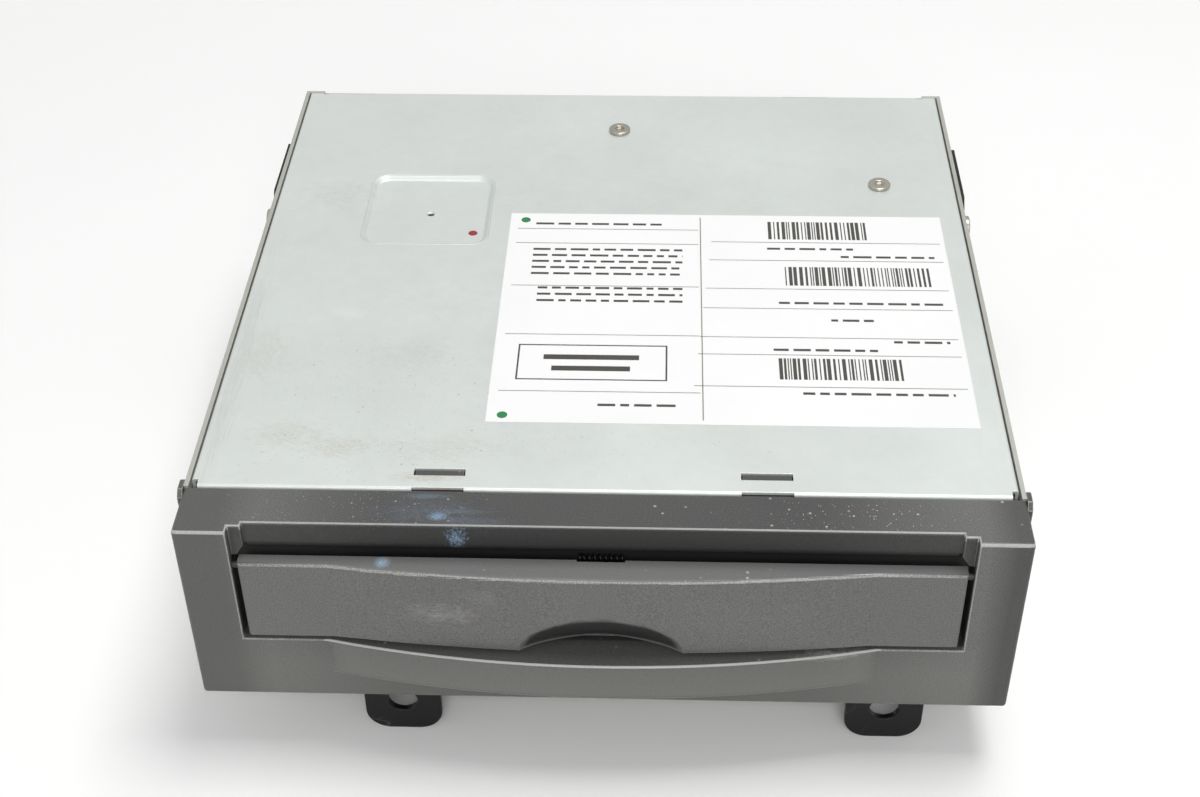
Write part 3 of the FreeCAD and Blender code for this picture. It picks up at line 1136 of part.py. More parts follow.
# Feed roller and the gear train outside the left wall of the loader frame
def make_feed():
    shaft_end = "gear_x - gear_width - 0.1"
    finish(rod("feed_shaft", "X", shaft_end, "roller_y", "roller_z", "roller_shaft_r",
               "frame_half + 0.4 - (%s)" % shaft_end), "roller_shaft")
    rollers, bushes = [], []
    for side, word in ((-1, "left"), (1, "right")):
        start = "-60" if side < 0 else "20"
        rollers.append(cut("roller_" + word,
                           rod("roller_out_" + word, "X", start, "roller_y", "roller_z",
                               "roller_radius", "40"),
                           [rod("roller_in_" + word, "X", start + " - 1", "roller_y",
                                "roller_z", "roller_shaft_r", "42")]))
        start = "-frame_half - 0.2" if side < 0 else "wall_x - 0.8"
        flange = "-wall_x" if side < 0 else "wall_x - 0.8"
        ring = join("bush_solid_" + word, [
            rod("bush_barrel_" + word, "X", start, "roller_y", "roller_z", "2.9", "2"),
            rod("bush_flange_" + word, "X", flange, "roller_y", "roller_z", "4", "0.8")])
        bushes.append(cut("bush_" + word, ring,
                          [rod("bush_bore_" + word, "X", start + " - 1", "roller_y", "roller_z",
                               "roller_shaft_r + run_fit", "5")]))
    finish(group("roller_pair", rollers), "rubber_rollers")
    finish(group("bush_pair", bushes), "roller_bushes")
    first = "gear_x - gear_width"
    second = "gear_x2 - gear_width"
    finish(cut("roller_gear_bored", gear("gear_a", 20, first, "roller_y", "roller_z", 0),
               [rod("roller_gear_bore", "X", first + " - 1", "roller_y", "roller_z",
                    "roller_shaft_r", "gear_width + 2")]), "roller_gear")
    middle = rod("gear_middle", "X", second, "loading_y", "roller_z", "3.4",
                 "gear_x - (%s)" % second)
    compound = join("compound", [gear("gear_b", 12, first, "loading_y", "roller_z", 15),
                                 gear("gear_c", 30, second, "loading_y", "roller_z", -32),
                                 middle])
    finish(cut("compound_bored", compound,
               [rod("compound_bore", "X", second + " - 1", "loading_y", "roller_z",
                    "rod_radius + run_fit", "8")]), "loading_gear")
    finish(join("post_solid", [
        rod("post_pin", "X", second + " - 0.3", "loading_y", "roller_z", "rod_radius",
            "-wall_x - (%s) + 0.3" % second),
        rod("post_cap", "X", second + " - 1.1", "loading_y", "roller_z", "2.6", "0.8")]),
        "gear_post")
    finish(join("pinion_solid", [
        gear("gear_d", 10, second, "pinion_y", "pinion_z", 22),
        rod("pinion_shaft", "X", second, "pinion_y", "pinion_z", "0.8",
            "-wall_x + 2 - (%s)" % second)]), "motor_pinion")
    motor = join("feed_motor_solid", [
        rod("feed_can", "X", "-wall_x", "pinion_y", "pinion_z", "5", "20"),
        rod("feed_nose", "X", "-frame_half", "pinion_y", "pinion_z", "2.4", "2"),
        rod("feed_cap", "X", "-wall_x + 19", "pinion_y", "pinion_z", "3.6", "2.4")])
    finish(cut("feed_motor_bored", motor,
               [rod("feed_motor_bore", "X", "-frame_half - 1", "pinion_y", "pinion_z",
                    "0.8 + run_fit", "4.4")]), "loading_motor")


# Main board, its parts and the sockets at the back
def make_electronics(spots):
    plate_box = box("main_plate", "-board_half", "board_half", "board_start", "board_end",
                    "board_z", "board_top")
    holes = [rod("main_hole%d" % number, "Z", x, y, "board_z - 1", "1.5", "4")
             for number, (x, y) in enumerate(spots)]
    finish(cut("main_plate_holed", plate_box, holes), "main_board")
    finish(box("chip", "-42", "-20", "60", "82", "board_top", "board_top + 2"), "processor")
    fins = [box("sink_base", "-43", "-19", "59", "83", "board_top + 2", "board_top + 3.2")]
    for number in range(9):
        x = "%.2f" % (-43 + 2.85 * number)
        fins.append(box("fin%d" % number, x, x + " + 1.2", "59", "83", "board_top + 3",
                        "board_top + 6.4"))
    finish(join("sink_solid", fins), "heat_sink")
    chips = []
    for number, (x, y, wide, long) in enumerate(((-40, 90, 12, 9), (-22, 90, 12, 9),
                                                 (-60, 100, 14, 14), (20, 120, 18, 12),
                                                 (48, 118, 8, 6))):
        chips.append(box("memory%d" % number, str(x), str(x + wide), str(y), str(y + long),
                         "board_top", "board_top + 1.2"))
    finish(group("chip_set", chips), "memory_chips")
    cans = []
    for number, (x, y) in enumerate(((-30, 150), (-21, 150), (-12, 150), (4, 156), (12, 156))):
        cans.append(rod("can%d" % number, "Z", str(x), str(y), "board_top", "3.2", "8"))
    finish(group("can_set", cans), "capacitors")
    shield = cut("shield_solid", box("shield_box", "32", "64", "144", "164", "board_top",
                                     "board_top + 8"),
                 [box("shield_hollow", "32.5", "63.5", "144.5", "163.5", "board_top - 1",
                      "board_top + 7.5")])
    finish(shield, "tuner_shield")
    finish(box("gyro", "-52", "-44", "146", "156", "board_top", "board_top + 3.4"),
           "turn_sensor")
    plug_top = "board_top + plug_height"
    housing = box("plug_box", "plug_left", "plug_right", "inner_rear - 12",
                  "case_rear + plug_reach", "board_top", plug_top)
    bay = box("plug_bay", "plug_left + 1.5", "plug_right - 21", "case_rear - 6",
              "case_rear + plug_reach + 1", "board_top + 1.5", plug_top + " - 1.5")
    bay2 = box("plug_bay2", "plug_right - 19.5", "plug_right - 1.5", "case_rear - 6",
               "case_rear + plug_reach + 1", "board_top + 1.5", plug_top + " - 1.5")
    finish(cut("plug_solid", housing, [bay, bay2]), "wiring_connector")
    pins = []
    rib_place = 8
    for row_number, z in enumerate(("board_top + 5", "board_top + 8.7")):
        for column in [place for place in range(14) if place != rib_place]:
            x = "plug_left + %.2f" % (5.2 + 3.15 * column)
            pins.append(box("contact_%d_%d" % (row_number, column), x + " - 0.4", x + " + 0.4",
                            "case_rear - 6", "case_rear + 1", z + " - 0.4", z + " + 0.4"))
    finish(group("contact_set", pins), "connector_pins")
    for label, x in (("positioning_socket", "socket_left_x"), ("radio_socket", "socket_right_x")):
        z = "board_top + socket_lift"
        body = join(label + "_solid", [
            box(label + "_block", x + " - 5", x + " + 5", "inner_rear - 10", "inner_rear - 0.1",
                "board_top", z + " + 5"),
            rod(label + "_barrel", "Y", x, "inner_rear - 5", z, "socket_radius",
                "sheet + socket_reach + 5")])
        bored = cut(label + "_bored", body, [rod(label + "_bore", "Y", x, "inner_rear", z,
                                                 "socket_radius - 0.8", "20")])
        pin = rod(label + "_pin", "Y", x, "inner_rear - 1", z, "0.7", "4.8")
        finish(join(label + "_all", [bored, pin]), label)
    lead = join("ribbon_solid", [
        box("ribbon_down", "64.5", "71", "plate_back + 4 + board_thick",
            "plate_back + 4.3 + board_thick", "board_top", "slot_z - 10"),
        box("ribbon_flat", "64.5", "71", "plate_back + 4 + board_thick", "board_start + 6",
            "board_top", "board_top + 0.3"),
        box("ribbon_plug", "63.5", "72", "board_start + 4", "board_start + 9", "board_top",
            "board_top + 2")])
    finish(lead, "ribbon_cable")


make_bezel()
make_flap()
make_front_parts()
standoffs = make_chassis()
make_cover()
make_bracket()
make_side_fixings()
make_frame()
make_deck()
make_movers()
make_feed()
make_electronics(standoffs)
doc.recompute()

# Check every object, then write one file for each piece
for item in doc.Objects:
    if "Invalid" in item.State or "Error" in item.State:
        raise RuntimeError("failed object: " + item.Name)
os.makedirs("parts", exist_ok=True)
for item in pieces:
    shape = item.Shape
    if shape.isNull() or not shape.isValid():
        raise RuntimeError("bad shape: " + item.Label)
    shape.exportStep("parts/%s.step" % item.Label)
    print("%-24s solids %d volume %.1f" % (item.Label, len(shape.Solids), shape.Volume))
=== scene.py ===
"""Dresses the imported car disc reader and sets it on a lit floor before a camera.

Lengths here are in millimetres until they reach a mesh, which is in metres. X points right, Y to
the back and Z up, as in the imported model.
"""

import logging
import math
from dataclasses import dataclass, field
from enum import Enum
from functools import partial, reduce
from typing import NamedTuple, Optional, Sequence, Union

import bmesh
import bpy
import numpy as np
from mathutils import Matrix, Vector


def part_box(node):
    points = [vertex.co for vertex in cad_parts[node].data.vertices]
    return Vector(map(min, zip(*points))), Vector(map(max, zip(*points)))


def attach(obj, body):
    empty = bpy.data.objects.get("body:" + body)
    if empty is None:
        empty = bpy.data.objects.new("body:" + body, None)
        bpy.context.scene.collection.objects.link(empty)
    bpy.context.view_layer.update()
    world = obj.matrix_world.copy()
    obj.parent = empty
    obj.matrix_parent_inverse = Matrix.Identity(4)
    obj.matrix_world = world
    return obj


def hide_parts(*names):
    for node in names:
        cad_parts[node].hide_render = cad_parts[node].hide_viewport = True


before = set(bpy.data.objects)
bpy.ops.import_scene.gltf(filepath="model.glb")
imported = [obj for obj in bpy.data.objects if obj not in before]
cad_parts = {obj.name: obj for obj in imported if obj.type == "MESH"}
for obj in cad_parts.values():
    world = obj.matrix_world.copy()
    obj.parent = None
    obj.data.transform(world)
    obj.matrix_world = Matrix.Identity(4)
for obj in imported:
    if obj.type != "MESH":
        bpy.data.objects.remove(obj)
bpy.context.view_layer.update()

log = logging.getLogger("disc_reader")
logging.basicConfig(level=logging.INFO, format="%(name)s: %(message)s")

MM = 0.001
FRONT = -91.5  # front face of the bezel along Y
TOP = 65.3  # top edge of the bezel
COVER = 66.0  # top face of the cover
RGB = tuple[float, float, float]
Triple = tuple[float, float, float]
Socket = bpy.types.NodeSocket
Tree = bpy.types.NodeTree
Material = bpy.types.Material
Object = bpy.types.Object
Feed = Union[Socket, float, Sequence[float]]
Faces = list[list[int]]


class Axis(Enum):
    """Direction along a row axis."""

    X = 0
    Y = 1
    Z = 2


def srgb(red: int, green: int, blue: int) -> RGB:
    """Linear colour of an 8-bit screen colour.

    Args:
        red: red from 0 to 255.
        green: green from 0 to 255.
        blue: blue from 0 to 255.

    Returns:
        The three linear components.
    """
    parts = np.array([red, green, blue], float) / 255
    linear = np.where(parts <= 0.04045, parts / 12.92, ((parts + 0.055) / 1.055) ** 2.4)
    return tuple(float(part) for part in linear)


# Shader building


class Wiring:
    """Adds and joins nodes in one node tree."""

    def __init__(self, tree: Tree) -> None:
        """Keep the tree that is being wired."""
        self.tree = tree

    @classmethod
    def of(cls, owner: bpy.types.ID) -> "Wiring":
        """Wiring of a material or world whose nodes are cleared first."""
        owner.use_nodes = True
        owner.node_tree.nodes.clear()
        return cls(owner.node_tree)

    def node(self, kind: str, inputs: Optional[dict] = None,
             **settings: object) -> bpy.types.Node:
        """Add a node.

        Args:
            kind: Blender's node type.
            inputs: socket name or number to a constant or to a socket that feeds it.
            settings: node properties.

        Returns:
            The new node.
        """
        made = self.tree.nodes.new(kind)
        for key, value in settings.items():
            setattr(made, key, value)
        for key, value in (inputs or {}).items():
            if isinstance(value, Socket):
                self.tree.links.new(value, made.inputs[key])
            else:
                made.inputs[key].default_value = value
        return made

    def maths(self, operation: str, *values: Feed) -> Socket:
        """Output of a Math node on up to three values or sockets."""
        return self.node("ShaderNodeMath", dict(enumerate(values)), operation=operation).outputs[0]

    def product(self, *values: Feed) -> Socket:
        """Product of two or more values or sockets."""
        return reduce(partial(self.maths, "MULTIPLY"), values)

    def span(self, value: Socket, low: float, high: float, start: float = 0.0,
             end: float = 1.0) -> Socket:
        """Output of a clamped Map Range from low..high to start..end."""
        return self.node("ShaderNodeMapRange", {"Value": value, "From Min": low, "From Max": high,
                                                "To Min": start, "To Max": end}).outputs[0]

    def blend(self, factor: Feed, first: Feed, second: Feed) -> Socket:
        """Output of a colour Mix node."""
        first, second = (colour if isinstance(colour, Socket) else (*colour, 1.0)
                         for colour in (first, second))
        return self.node("ShaderNodeMix", {0: factor, 6: first, 7: second},
                         data_type="RGBA").outputs[2]

    def noise(self, vector: Socket, scale: Feed, detail: float = 3.0,
              roughness: float = 0.55) -> Socket:
        """Value output of a Noise texture."""
        return self.node("ShaderNodeTexNoise", {"Vector": vector, "Scale": scale, "Detail": detail,
                                                "Roughness": roughness}).outputs[0]

    def cells(self, vector: Socket, scale: Feed,
              randomness: float = 1.0) -> bpy.types.NodeOutputs:
        """Outputs of a Voronoi texture."""
        return self.node("ShaderNodeTexVoronoi", {"Vector": vector, "Scale": scale,
                                                  "Randomness": randomness}).outputs

    def parts(self, colour: Socket) -> bpy.types.NodeOutputs:
        """Red, green and blue of a colour."""
        return self.node("ShaderNodeSeparateColor", {0: colour}).outputs

    def use(self, group: Tree, place: Socket, **values: float) -> bpy.types.NodeOutputs:
        """Outputs of a shared group, placed here with its own values."""
        return self.node("ShaderNodeGroup", {"Vector": place, **values}, node_tree=group).outputs


def new_group(name: str, inputs: dict[str, float], outputs: Sequence[str] = ("Mask",)) -> tuple:
    """Start a node group with a Vector input and float sockets.

    Args:
        name: group name.
        inputs: float input names and their defaults.
        outputs: float output names.

    Returns:
        The group, its wiring and the sockets that its inputs give.
    """
    group = bpy.data.node_groups.new(name, "ShaderNodeTree")
    group.interface.new_socket("Vector", in_out="INPUT", socket_type="NodeSocketVector")
    for key, value in inputs.items():
        socket = group.interface.new_socket(key, in_out="INPUT", socket_type="NodeSocketFloat")
        socket.default_value = value
    for key in outputs:
        group.interface.new_socket(key, in_out="OUTPUT", socket_type="NodeSocketFloat")
    wiring = Wiring(group)
    return group, wiring, wiring.node("NodeGroupInput").outputs


def grain_group() -> Tree:
    """Moulded grain: fine and coarse noise as a height, and a slow tone change."""
    group, w, given = new_group("moulded_grain", {"Scale": 2200.0}, ("Height", "Tone"))
    fine = w.noise(given["Vector"], given["Scale"], 2.0, 0.5)
    cells = w.cells(given["Vector"], given["Scale"])
    height = w.maths("ADD", w.product(fine, 0.6), w.product(cells["Distance"], 0.4))
    slow = w.noise(given["Vector"], 22.0, 4.0, 0.6)
    w.node("NodeGroupOutput", {"Height": height, "Tone": slow})
    return group


def edge_group() -> Tree:
    """Edge wear: where the rounded normal leaves the flat one, broken up by noise."""
    group, w, given = new_group("edge_wear", {"Radius": 0.0006, "Break": 380.0})
    bevel = w.node("ShaderNodeBevel", {"Radius": given["Radius"]}, samples=6)
    flat = w.node("ShaderNodeNewGeometry").outputs["Normal"]
    dot = w.node("ShaderNodeVectorMath", {0: bevel.outputs[0], 1: flat}, operation="DOT_PRODUCT")
    speckle = w.noise(given["Vector"], given["Break"], 3.0, 0.5)
    mask = w.product(w.span(dot.outputs["Value"], 0.98, 0.80), w.span(speckle, 0.42, 0.68))
    w.node("NodeGroupOutput", {"Mask": mask})
    return group


def scratch_group() -> Tree:
    """Fine scratches: thin bands of two stretched noises, kept only in patches."""
    group, w, given = new_group("scratches", {"Scale": 90.0, "Amount": 0.5})
    total = 0.0
    for angle, stretch in ((0.35, 26.0), (-0.9, 34.0)):
        turn = w.node("ShaderNodeMapping", {"Vector": given["Vector"],
                                            "Rotation": (0.0, 0.0, angle),
                                            "Scale": (1.0, stretch, 1.0)})
        lines = w.noise(turn.outputs[0], given["Scale"], 1.0, 0.5)
        band = w.maths("ABSOLUTE", w.maths("SUBTRACT", lines, 0.5))
        total = w.maths("MAXIMUM", total, w.span(band, 0.006, 0.0))
    patches = w.span(w.noise(given["Vector"], 24.0, 2.0), 0.50, 0.66)
    w.node("NodeGroupOutput", {"Mask": w.product(total, patches, given["Amount"])})
    return group


def dust_group() -> Tree:
    """Dust: small specks on faces that look up, denser in patches."""
    group, w, given = new_group("dust", {"Scale": 620.0, "Amount": 0.5})
    spots = w.cells(given["Vector"], given["Scale"])
    speck = w.product(w.span(spots["Distance"], 0.26, 0.12),
                      w.span(w.parts(spots["Color"])[0], 0.86, 0.93))
    up = w.node("ShaderNodeSeparateXYZ", {0: w.node("ShaderNodeNewGeometry").outputs["Normal"]})
    patches = w.span(w.noise(given["Vector"], 30.0, 3.0), 0.44, 0.62)
    mask = w.product(speck, w.span(up.outputs["Z"], 0.2, 0.7), patches, given["Amount"])
    w.node("NodeGroupOutput", {"Mask": mask})
    return group


def spot_group() -> Tree:
    """Soft-edged stain: distance from a place with a ragged border, broken up inside."""
    group, w, given = new_group("stain", {"Ragged": 0.5, "Fine": 9.0})
    length = w.node("ShaderNodeVectorMath", {0: given["Vector"]}, operation="LENGTH")
    ragged = w.maths("SUBTRACT", w.noise(given["Vector"], 3.2, 5.0, 0.7), 0.5)
    edge = w.maths("ADD", length.outputs["Value"], w.product(ragged, given["Ragged"], 3.0))
    fine = w.noise(given["Vector"], given["Fine"], 4.0, 0.75)
    mask = w.product(w.span(edge, 1.0, 0.2), w.span(fine, 0.36, 0.66))
    w.node("NodeGroupOutput", {"Mask": mask})
    return group


class Effects:
    """Shared node groups, each built once."""

    def __init__(self) -> None:
        """Build every group."""
        self.grain = grain_group()
        self.edge = edge_group()
        self.scratch = scratch_group()
        self.dust = dust_group()
        self.stain = spot_group()


EFFECTS = Effects()


def specks_mask(w: Wiring, place: Socket) -> Socket:
    """Scattered specks of many sizes: the cores of some cells of two Voronoi patterns."""
    total = 0.0
    for scale, share in ((2400.0, 0.80), (1200.0, 0.93)):
        cells = w.cells(place, scale)
        part = w.parts(cells["Color"])
        size = w.product(part[1], 0.34)
        core = w.span(w.maths("SUBTRACT", cells["Distance"], size), 0.04, -0.04)
        kept = w.product(core, w.span(part[0], share, share + 0.03))
        total = w.maths("MAXIMUM", total, kept)
    return total


@dataclass(frozen=True)
class Stain:
    """A mark on a surface.

    place is its centre in millimetres from the middle of the bezel's top front edge, reach its
    half sizes, colour its tint and strength how much of it shows.
    """

    place: Triple
    reach: Triple
    colour: RGB
    strength: float = 0.6
    ragged: float = 0.5
    turn: float = 0.0
    specks: bool = False

    def over(self, w: Wiring, place: Socket, colour: Socket) -> Socket:
        """Lay the stain over a colour.

        Args:
            w: the material's wiring.
            place: object coordinates.
            colour: the colour below.

        Returns:
            The colour with the mark on it.
        """
        x, y, z = self.place
        centre = (x * MM, (y + FRONT) * MM, (z + TOP) * MM)
        moved = w.node("ShaderNodeVectorMath", {0: place, 1: centre}, operation="SUBTRACT")
        size = tuple(1 / (part * MM) for part in self.reach)
        sized = w.node("ShaderNodeMapping", {"Vector": moved.outputs[0],
                                             "Rotation": (0.0, 0.0, self.turn), "Scale": size})
        fine = {"Fine": 0.0} if self.specks else {}
        mask = w.use(EFFECTS.stain, sized.outputs[0], Ragged=self.ragged, **fine)["Mask"]
        if self.specks:
            mask = w.product(w.span(mask, 0.0, 0.3), specks_mask(w, place))
        return w.blend(w.product(mask, self.strength), colour, self.colour)


@dataclass(frozen=True)
class Shade:
    """A box of the row frame, in millimetres, inside which the colour changes: painted light or
    shade, or the colour of a cut edge.

    The box is given by its low and high corners, and it fades over soft millimetres outside them.
    """

    low: Triple
    high: Triple
    soft: float
    colour: RGB
    strength: float

    def over(self, w: Wiring, place: Socket, colour: Socket) -> Socket:
        """Lay the box over a colour.

        Args:
            w: the material's wiring.
            place: object coordinates.
            colour: the colour below.

        Returns:
            The colour with the box on it.
        """
        mask = self.strength
        sides = w.node("ShaderNodeSeparateXYZ", {0: place}).outputs
        for side, low, high in zip(sides, self.low, self.high):
            mask = w.product(w.span(side, (low - self.soft) * MM, low * MM),
                             w.span(side, (high + self.soft) * MM, high * MM), mask)
        return w.blend(mask, colour, self.colour)


@dataclass(frozen=True)
class Finish:
    """A surface finish with grain, edge wear, scratches, dust, and boxes of painted light and
    shade.
    """

    name: str
    colour: RGB
    second: RGB
    roughness: float = 0.5
    spread: float = 0.1
    metallic: float = 0.0
    specular: float = 0.5
    grain_scale: float = 2200.0
    grain_depth: float = 0.02
    wear_colour: RGB = (0.5, 0.5, 0.5)
    wear: float = 0.0
    wear_radius: float = 0.0006
    scratch: float = 0.0
    scratch_colour: RGB = (0.6, 0.6, 0.6)
    dust: float = 0.0
    dust_colour: RGB = (0.62, 0.60, 0.55)
    coat: float = 0.0
    transmission: float = 0.0
    stains: tuple[Stain, ...] = ()
    fleck: float = 0.0
    fleck_scale: float = 3400.0
    shades: tuple[Shade, ...] = ()

    def build(self) -> Material:
        """Make the material.

        Returns:
            The material, ready to assign.
        """
        material = bpy.data.materials.new(self.name)
        w = Wiring.of(material)
        place = w.node("ShaderNodeTexCoord").outputs["Object"]
        grain = w.use(EFFECTS.grain, place, Scale=self.grain_scale)
        colour = w.blend(w.span(grain["Tone"], 0.3, 0.7), self.colour, self.second)
        if self.fleck > 0:
            fleck = w.span(w.noise(place, self.fleck_scale, 1.0, 0.4), 0.34, 0.66)
            light = w.blend(w.product(fleck, self.fleck), colour, self.tint(2.4))
            dark = w.product(w.maths("SUBTRACT", 1.0, fleck), self.fleck)
            colour = w.blend(dark, light, self.tint(0.4))
        for shade in self.shades:
            colour = shade.over(w, place, colour)
        colour = self.detail(w, place, colour)
        rough = w.span(grain["Tone"], 0.3, 0.7, self.roughness - self.spread / 2,
                       self.roughness + self.spread / 2)
        if self.wear > 0:
            edge = w.use(EFFECTS.edge, place, Radius=self.wear_radius)["Mask"]
            mask = w.product(edge, self.wear)
            colour = w.blend(mask, colour, self.wear_colour)
            rough = w.maths("SUBTRACT", rough, w.product(mask, 0.12))
        if self.scratch > 0:
            lines = w.use(EFFECTS.scratch, place, Amount=self.scratch)["Mask"]
            colour = w.blend(lines, colour, self.scratch_colour)
        for stain in self.stains:
            colour = stain.over(w, place, colour)
        if self.dust > 0:
            specks = w.use(EFFECTS.dust, place, Amount=self.dust)["Mask"]
            colour = w.blend(specks, colour, self.dust_colour)
        bump = w.node("ShaderNodeBump", {"Height": grain["Height"], "Distance": 0.00005,
                                         "Strength": self.grain_depth})
        shader = w.node("ShaderNodeBsdfPrincipled", {
            "Base Color": colour, "Roughness": rough, "Normal": bump.outputs[0],
            "Metallic": self.metallic, "Specular IOR Level": self.specular,
            "Coat Weight": self.coat, "Transmission Weight": self.transmission})
        w.node("ShaderNodeOutputMaterial", {0: shader.outputs[0]})
        return material

    def tint(self, share: float) -> RGB:
        """The finish's own colour, made lighter or darker."""
        return tuple(share * part for part in self.colour)

    def detail(self, w: Wiring, place: Socket, colour: Socket) -> Socket:
        """Colour after the finish's own pattern; the plain finish has none."""
        return colour


@dataclass(frozen=True)
class Brushed(Finish):
    """Metal with fine parallel lines."""

    line_scale: float = 900.0
    line_amount: float = 0.12
    direction: Triple = (1.0, 0.03, 1.0)

    def detail(self, w: Wiring, place: Socket, colour: Socket) -> Socket:
        """Stretched noise darkens the colour in thin lines."""
        turned = w.node("ShaderNodeMapping", {"Vector": place, "Scale": self.direction})
        lines = w.noise(turned.outputs[0], self.line_scale, 2.0)
        return w.blend(w.span(lines, 0.35, 0.65, 0.0, self.line_amount), colour, self.tint(0.55))


@dataclass(frozen=True)
class ZincSheet(Finish):
    """Zinc-plated sheet: cloudy crystals, faint handling marks."""

    def detail(self, w: Wiring, place: Socket, colour: Socket) -> Socket:
        """Cloudy patches and small crystals vary the colour."""
        cloud = w.span(w.noise(place, 9.0, 6.0, 0.62), 0.35, 0.72)
        colour = w.blend(w.product(cloud, 0.22), colour, self.wear_colour)
        part = w.parts(w.cells(place, 420.0)["Color"])[0]
        return w.blend(w.product(part, 0.05), colour, (0.40, 0.42, 0.41))


@dataclass(frozen=True)
class BoardLacquer(Finish):
    """Circuit board: tracks under lacquer, rows of small holes."""

    def detail(self, w: Wiring, place: Socket, colour: Socket) -> Socket:
        """A brick pattern stands for tracks; a dot grid for plated holes."""
        track = w.node("ShaderNodeTexBrick", {"Vector": place, "Scale": 260.0,
                                              "Mortar Size": 0.12, "Color1": (0, 0, 0, 1),
                                              "Color2": (0, 0, 0, 1), "Mortar": (1, 1, 1, 1)})
        patch = w.span(w.noise(place, 60.0, 2.0), 0.46, 0.54)
        lines = w.product(track.outputs[0], patch, 0.6)
        colour = w.blend(lines, colour, (0.07, 0.26, 0.10))
        hole = w.span(w.cells(place, 300.0, 0.35)["Distance"], 0.16, 0.12)
        return w.blend(hole, colour, (0.55, 0.50, 0.36))


@dataclass(frozen=True)
class FeltPile(Finish):
    """Woven pile with short fibres."""

    def detail(self, w: Wiring, place: Socket, colour: Socket) -> Socket:
        """Stretched noise makes upright fibres."""
        turned = w.node("ShaderNodeMapping", {"Vector": place, "Scale": (1.0, 0.2, 0.15)})
        pile = w.noise(turned.outputs[0], 4200.0, 3.0)
        return w.blend(w.span(pile, 0.35, 0.7), colour, self.tint(4))


# Marks seen on the front, in millimetres from the middle of the bezel's top front edge
SMEAR = (0.24, 0.34, 0.48)
FRONT_MARKS = (
    Stain((-36.0, 7.5, 0.0), (13.0, 4.6, 2.5), SMEAR, 0.20, 1.0, 0.5),
    Stain((-27.0, 4.6, 0.0), (9.0, 1.4, 2.5), SMEAR, 0.30, 1.0, 0.55),
    Stain((-30.0, 7.6, 0.0), (8.0, 0.9, 2.5), SMEAR, 0.30, 1.0, 0.55),
    Stain((-37.0, 12.2, 0.0), (6.0, 1.0, 2.5), SMEAR, 0.55, 0.9),
    Stain((-34.0, 6.0, 0.0), (2.4, 1.4, 3.0), (0.34, 0.52, 0.74), 0.95, 0.8),
    Stain((-30.0, 5.0, -3.5), (2.4, 4.2, 3.4), (0.34, 0.52, 0.74), 0.95, 1.0),
    Stain((-48.0, 1.4, -0.2), (5.0, 0.8, 1.0), SMEAR, 0.50, 1.0),
    Stain((54.0, 8.0, 0.0), (30.0, 6.0, 3.0), (0.62, 0.57, 0.42), 0.85, 0.9, 0.0, True),
    Stain((-52.0, 8.0, 0.0), (30.0, 8.0, 3.0), (0.52, 0.46, 0.34), 0.70, 0.9, 0.0, True),
    Stain((50.0, -1.6, -31.7), (9.0, 2.6, 1.3), (0.50, 0.50, 0.48), 0.60, 1.2, 0.1),
)
FLAP_MARKS = (
    Stain((-45.8, 1.4, -9.3), (2.0, 2.0, 1.6), (0.50, 0.76, 1.0), 1.0, 0.2),
    Stain((-34.0, -4.0, -20.5), (9.5, 5.0, 3.6), (0.42, 0.42, 0.42), 0.50, 0.9),
    Stain((-25.0, -4.0, -15.0), (5.0, 5.0, 2.8), (0.38, 0.38, 0.39), 0.26, 0.9),
    Stain((30.0, -4.0, -19.0), (24.0, 5.0, 7.0), (0.20, 0.20, 0.20), 0.14, 1.1),
    Stain((0.0, -4.0, -10.0), (60.0, 8.0, 3.0), (0.42, 0.40, 0.36), 0.30, 0.9, 0.0, True),
)
DIRT = (0.36, 0.27, 0.17)
COVER_MARKS = (
    Stain((-37.0, 17.4, 0.7), (9.0, 1.8, 2.0), DIRT, 0.62, 1.1),
    Stain((-33.0, 27.0, 0.7), (14.0, 5.0, 2.0), (0.46, 0.41, 0.33), 0.34, 1.2),
    Stain((-58.0, 27.0, 0.7), (9.0, 4.0, 2.0), (0.42, 0.35, 0.25), 0.45, 1.2),
    Stain((-70.0, 31.0, 0.7), (10.0, 5.0, 2.0), (0.44, 0.38, 0.28), 0.38, 1.2),
    Stain((-80.0, 60.0, 0.7), (7.0, 10.0, 2.0), (0.46, 0.42, 0.34), 0.34, 1.2),
    Stain((-62.0, 76.0, 0.7), (5.0, 3.0, 2.0), (0.90, 0.92, 0.90), 0.45, 1.0),
    Stain((-46.0, 60.0, 0.7), (10.0, 6.0, 2.0), (0.50, 0.45, 0.38), 0.34, 1.2),
    Stain((-72.0, 128.0, 0.7), (12.0, 7.0, 2.0), (0.42, 0.42, 0.38), 0.32, 1.2),
    Stain((-50.0, 40.0, 0.7), (45.0, 34.0, 2.0), (0.36, 0.31, 0.24), 0.50, 0.9, 0.0, True),
    Stain((-8.0, 28.0, 0.7), (60.0, 9.0, 2.0), (0.34, 0.30, 0.24), 0.35, 0.9, 0.0, True),
    Stain((0.0, 90.0, 0.7), (92.0, 90.0, 2.0), (0.40, 0.42, 0.41), 0.14, 0.9),
    Stain((-33.0, 14.5, 0.0), (9.0, 3.4, 0.60), (0.50, 0.20, 0.10), 0.90, 1.0),
    Stain((-85.0, 52.0, 0.7), (2.6, 50.0, 2.0), (0.38, 0.34, 0.28), 0.30, 1.1),
)


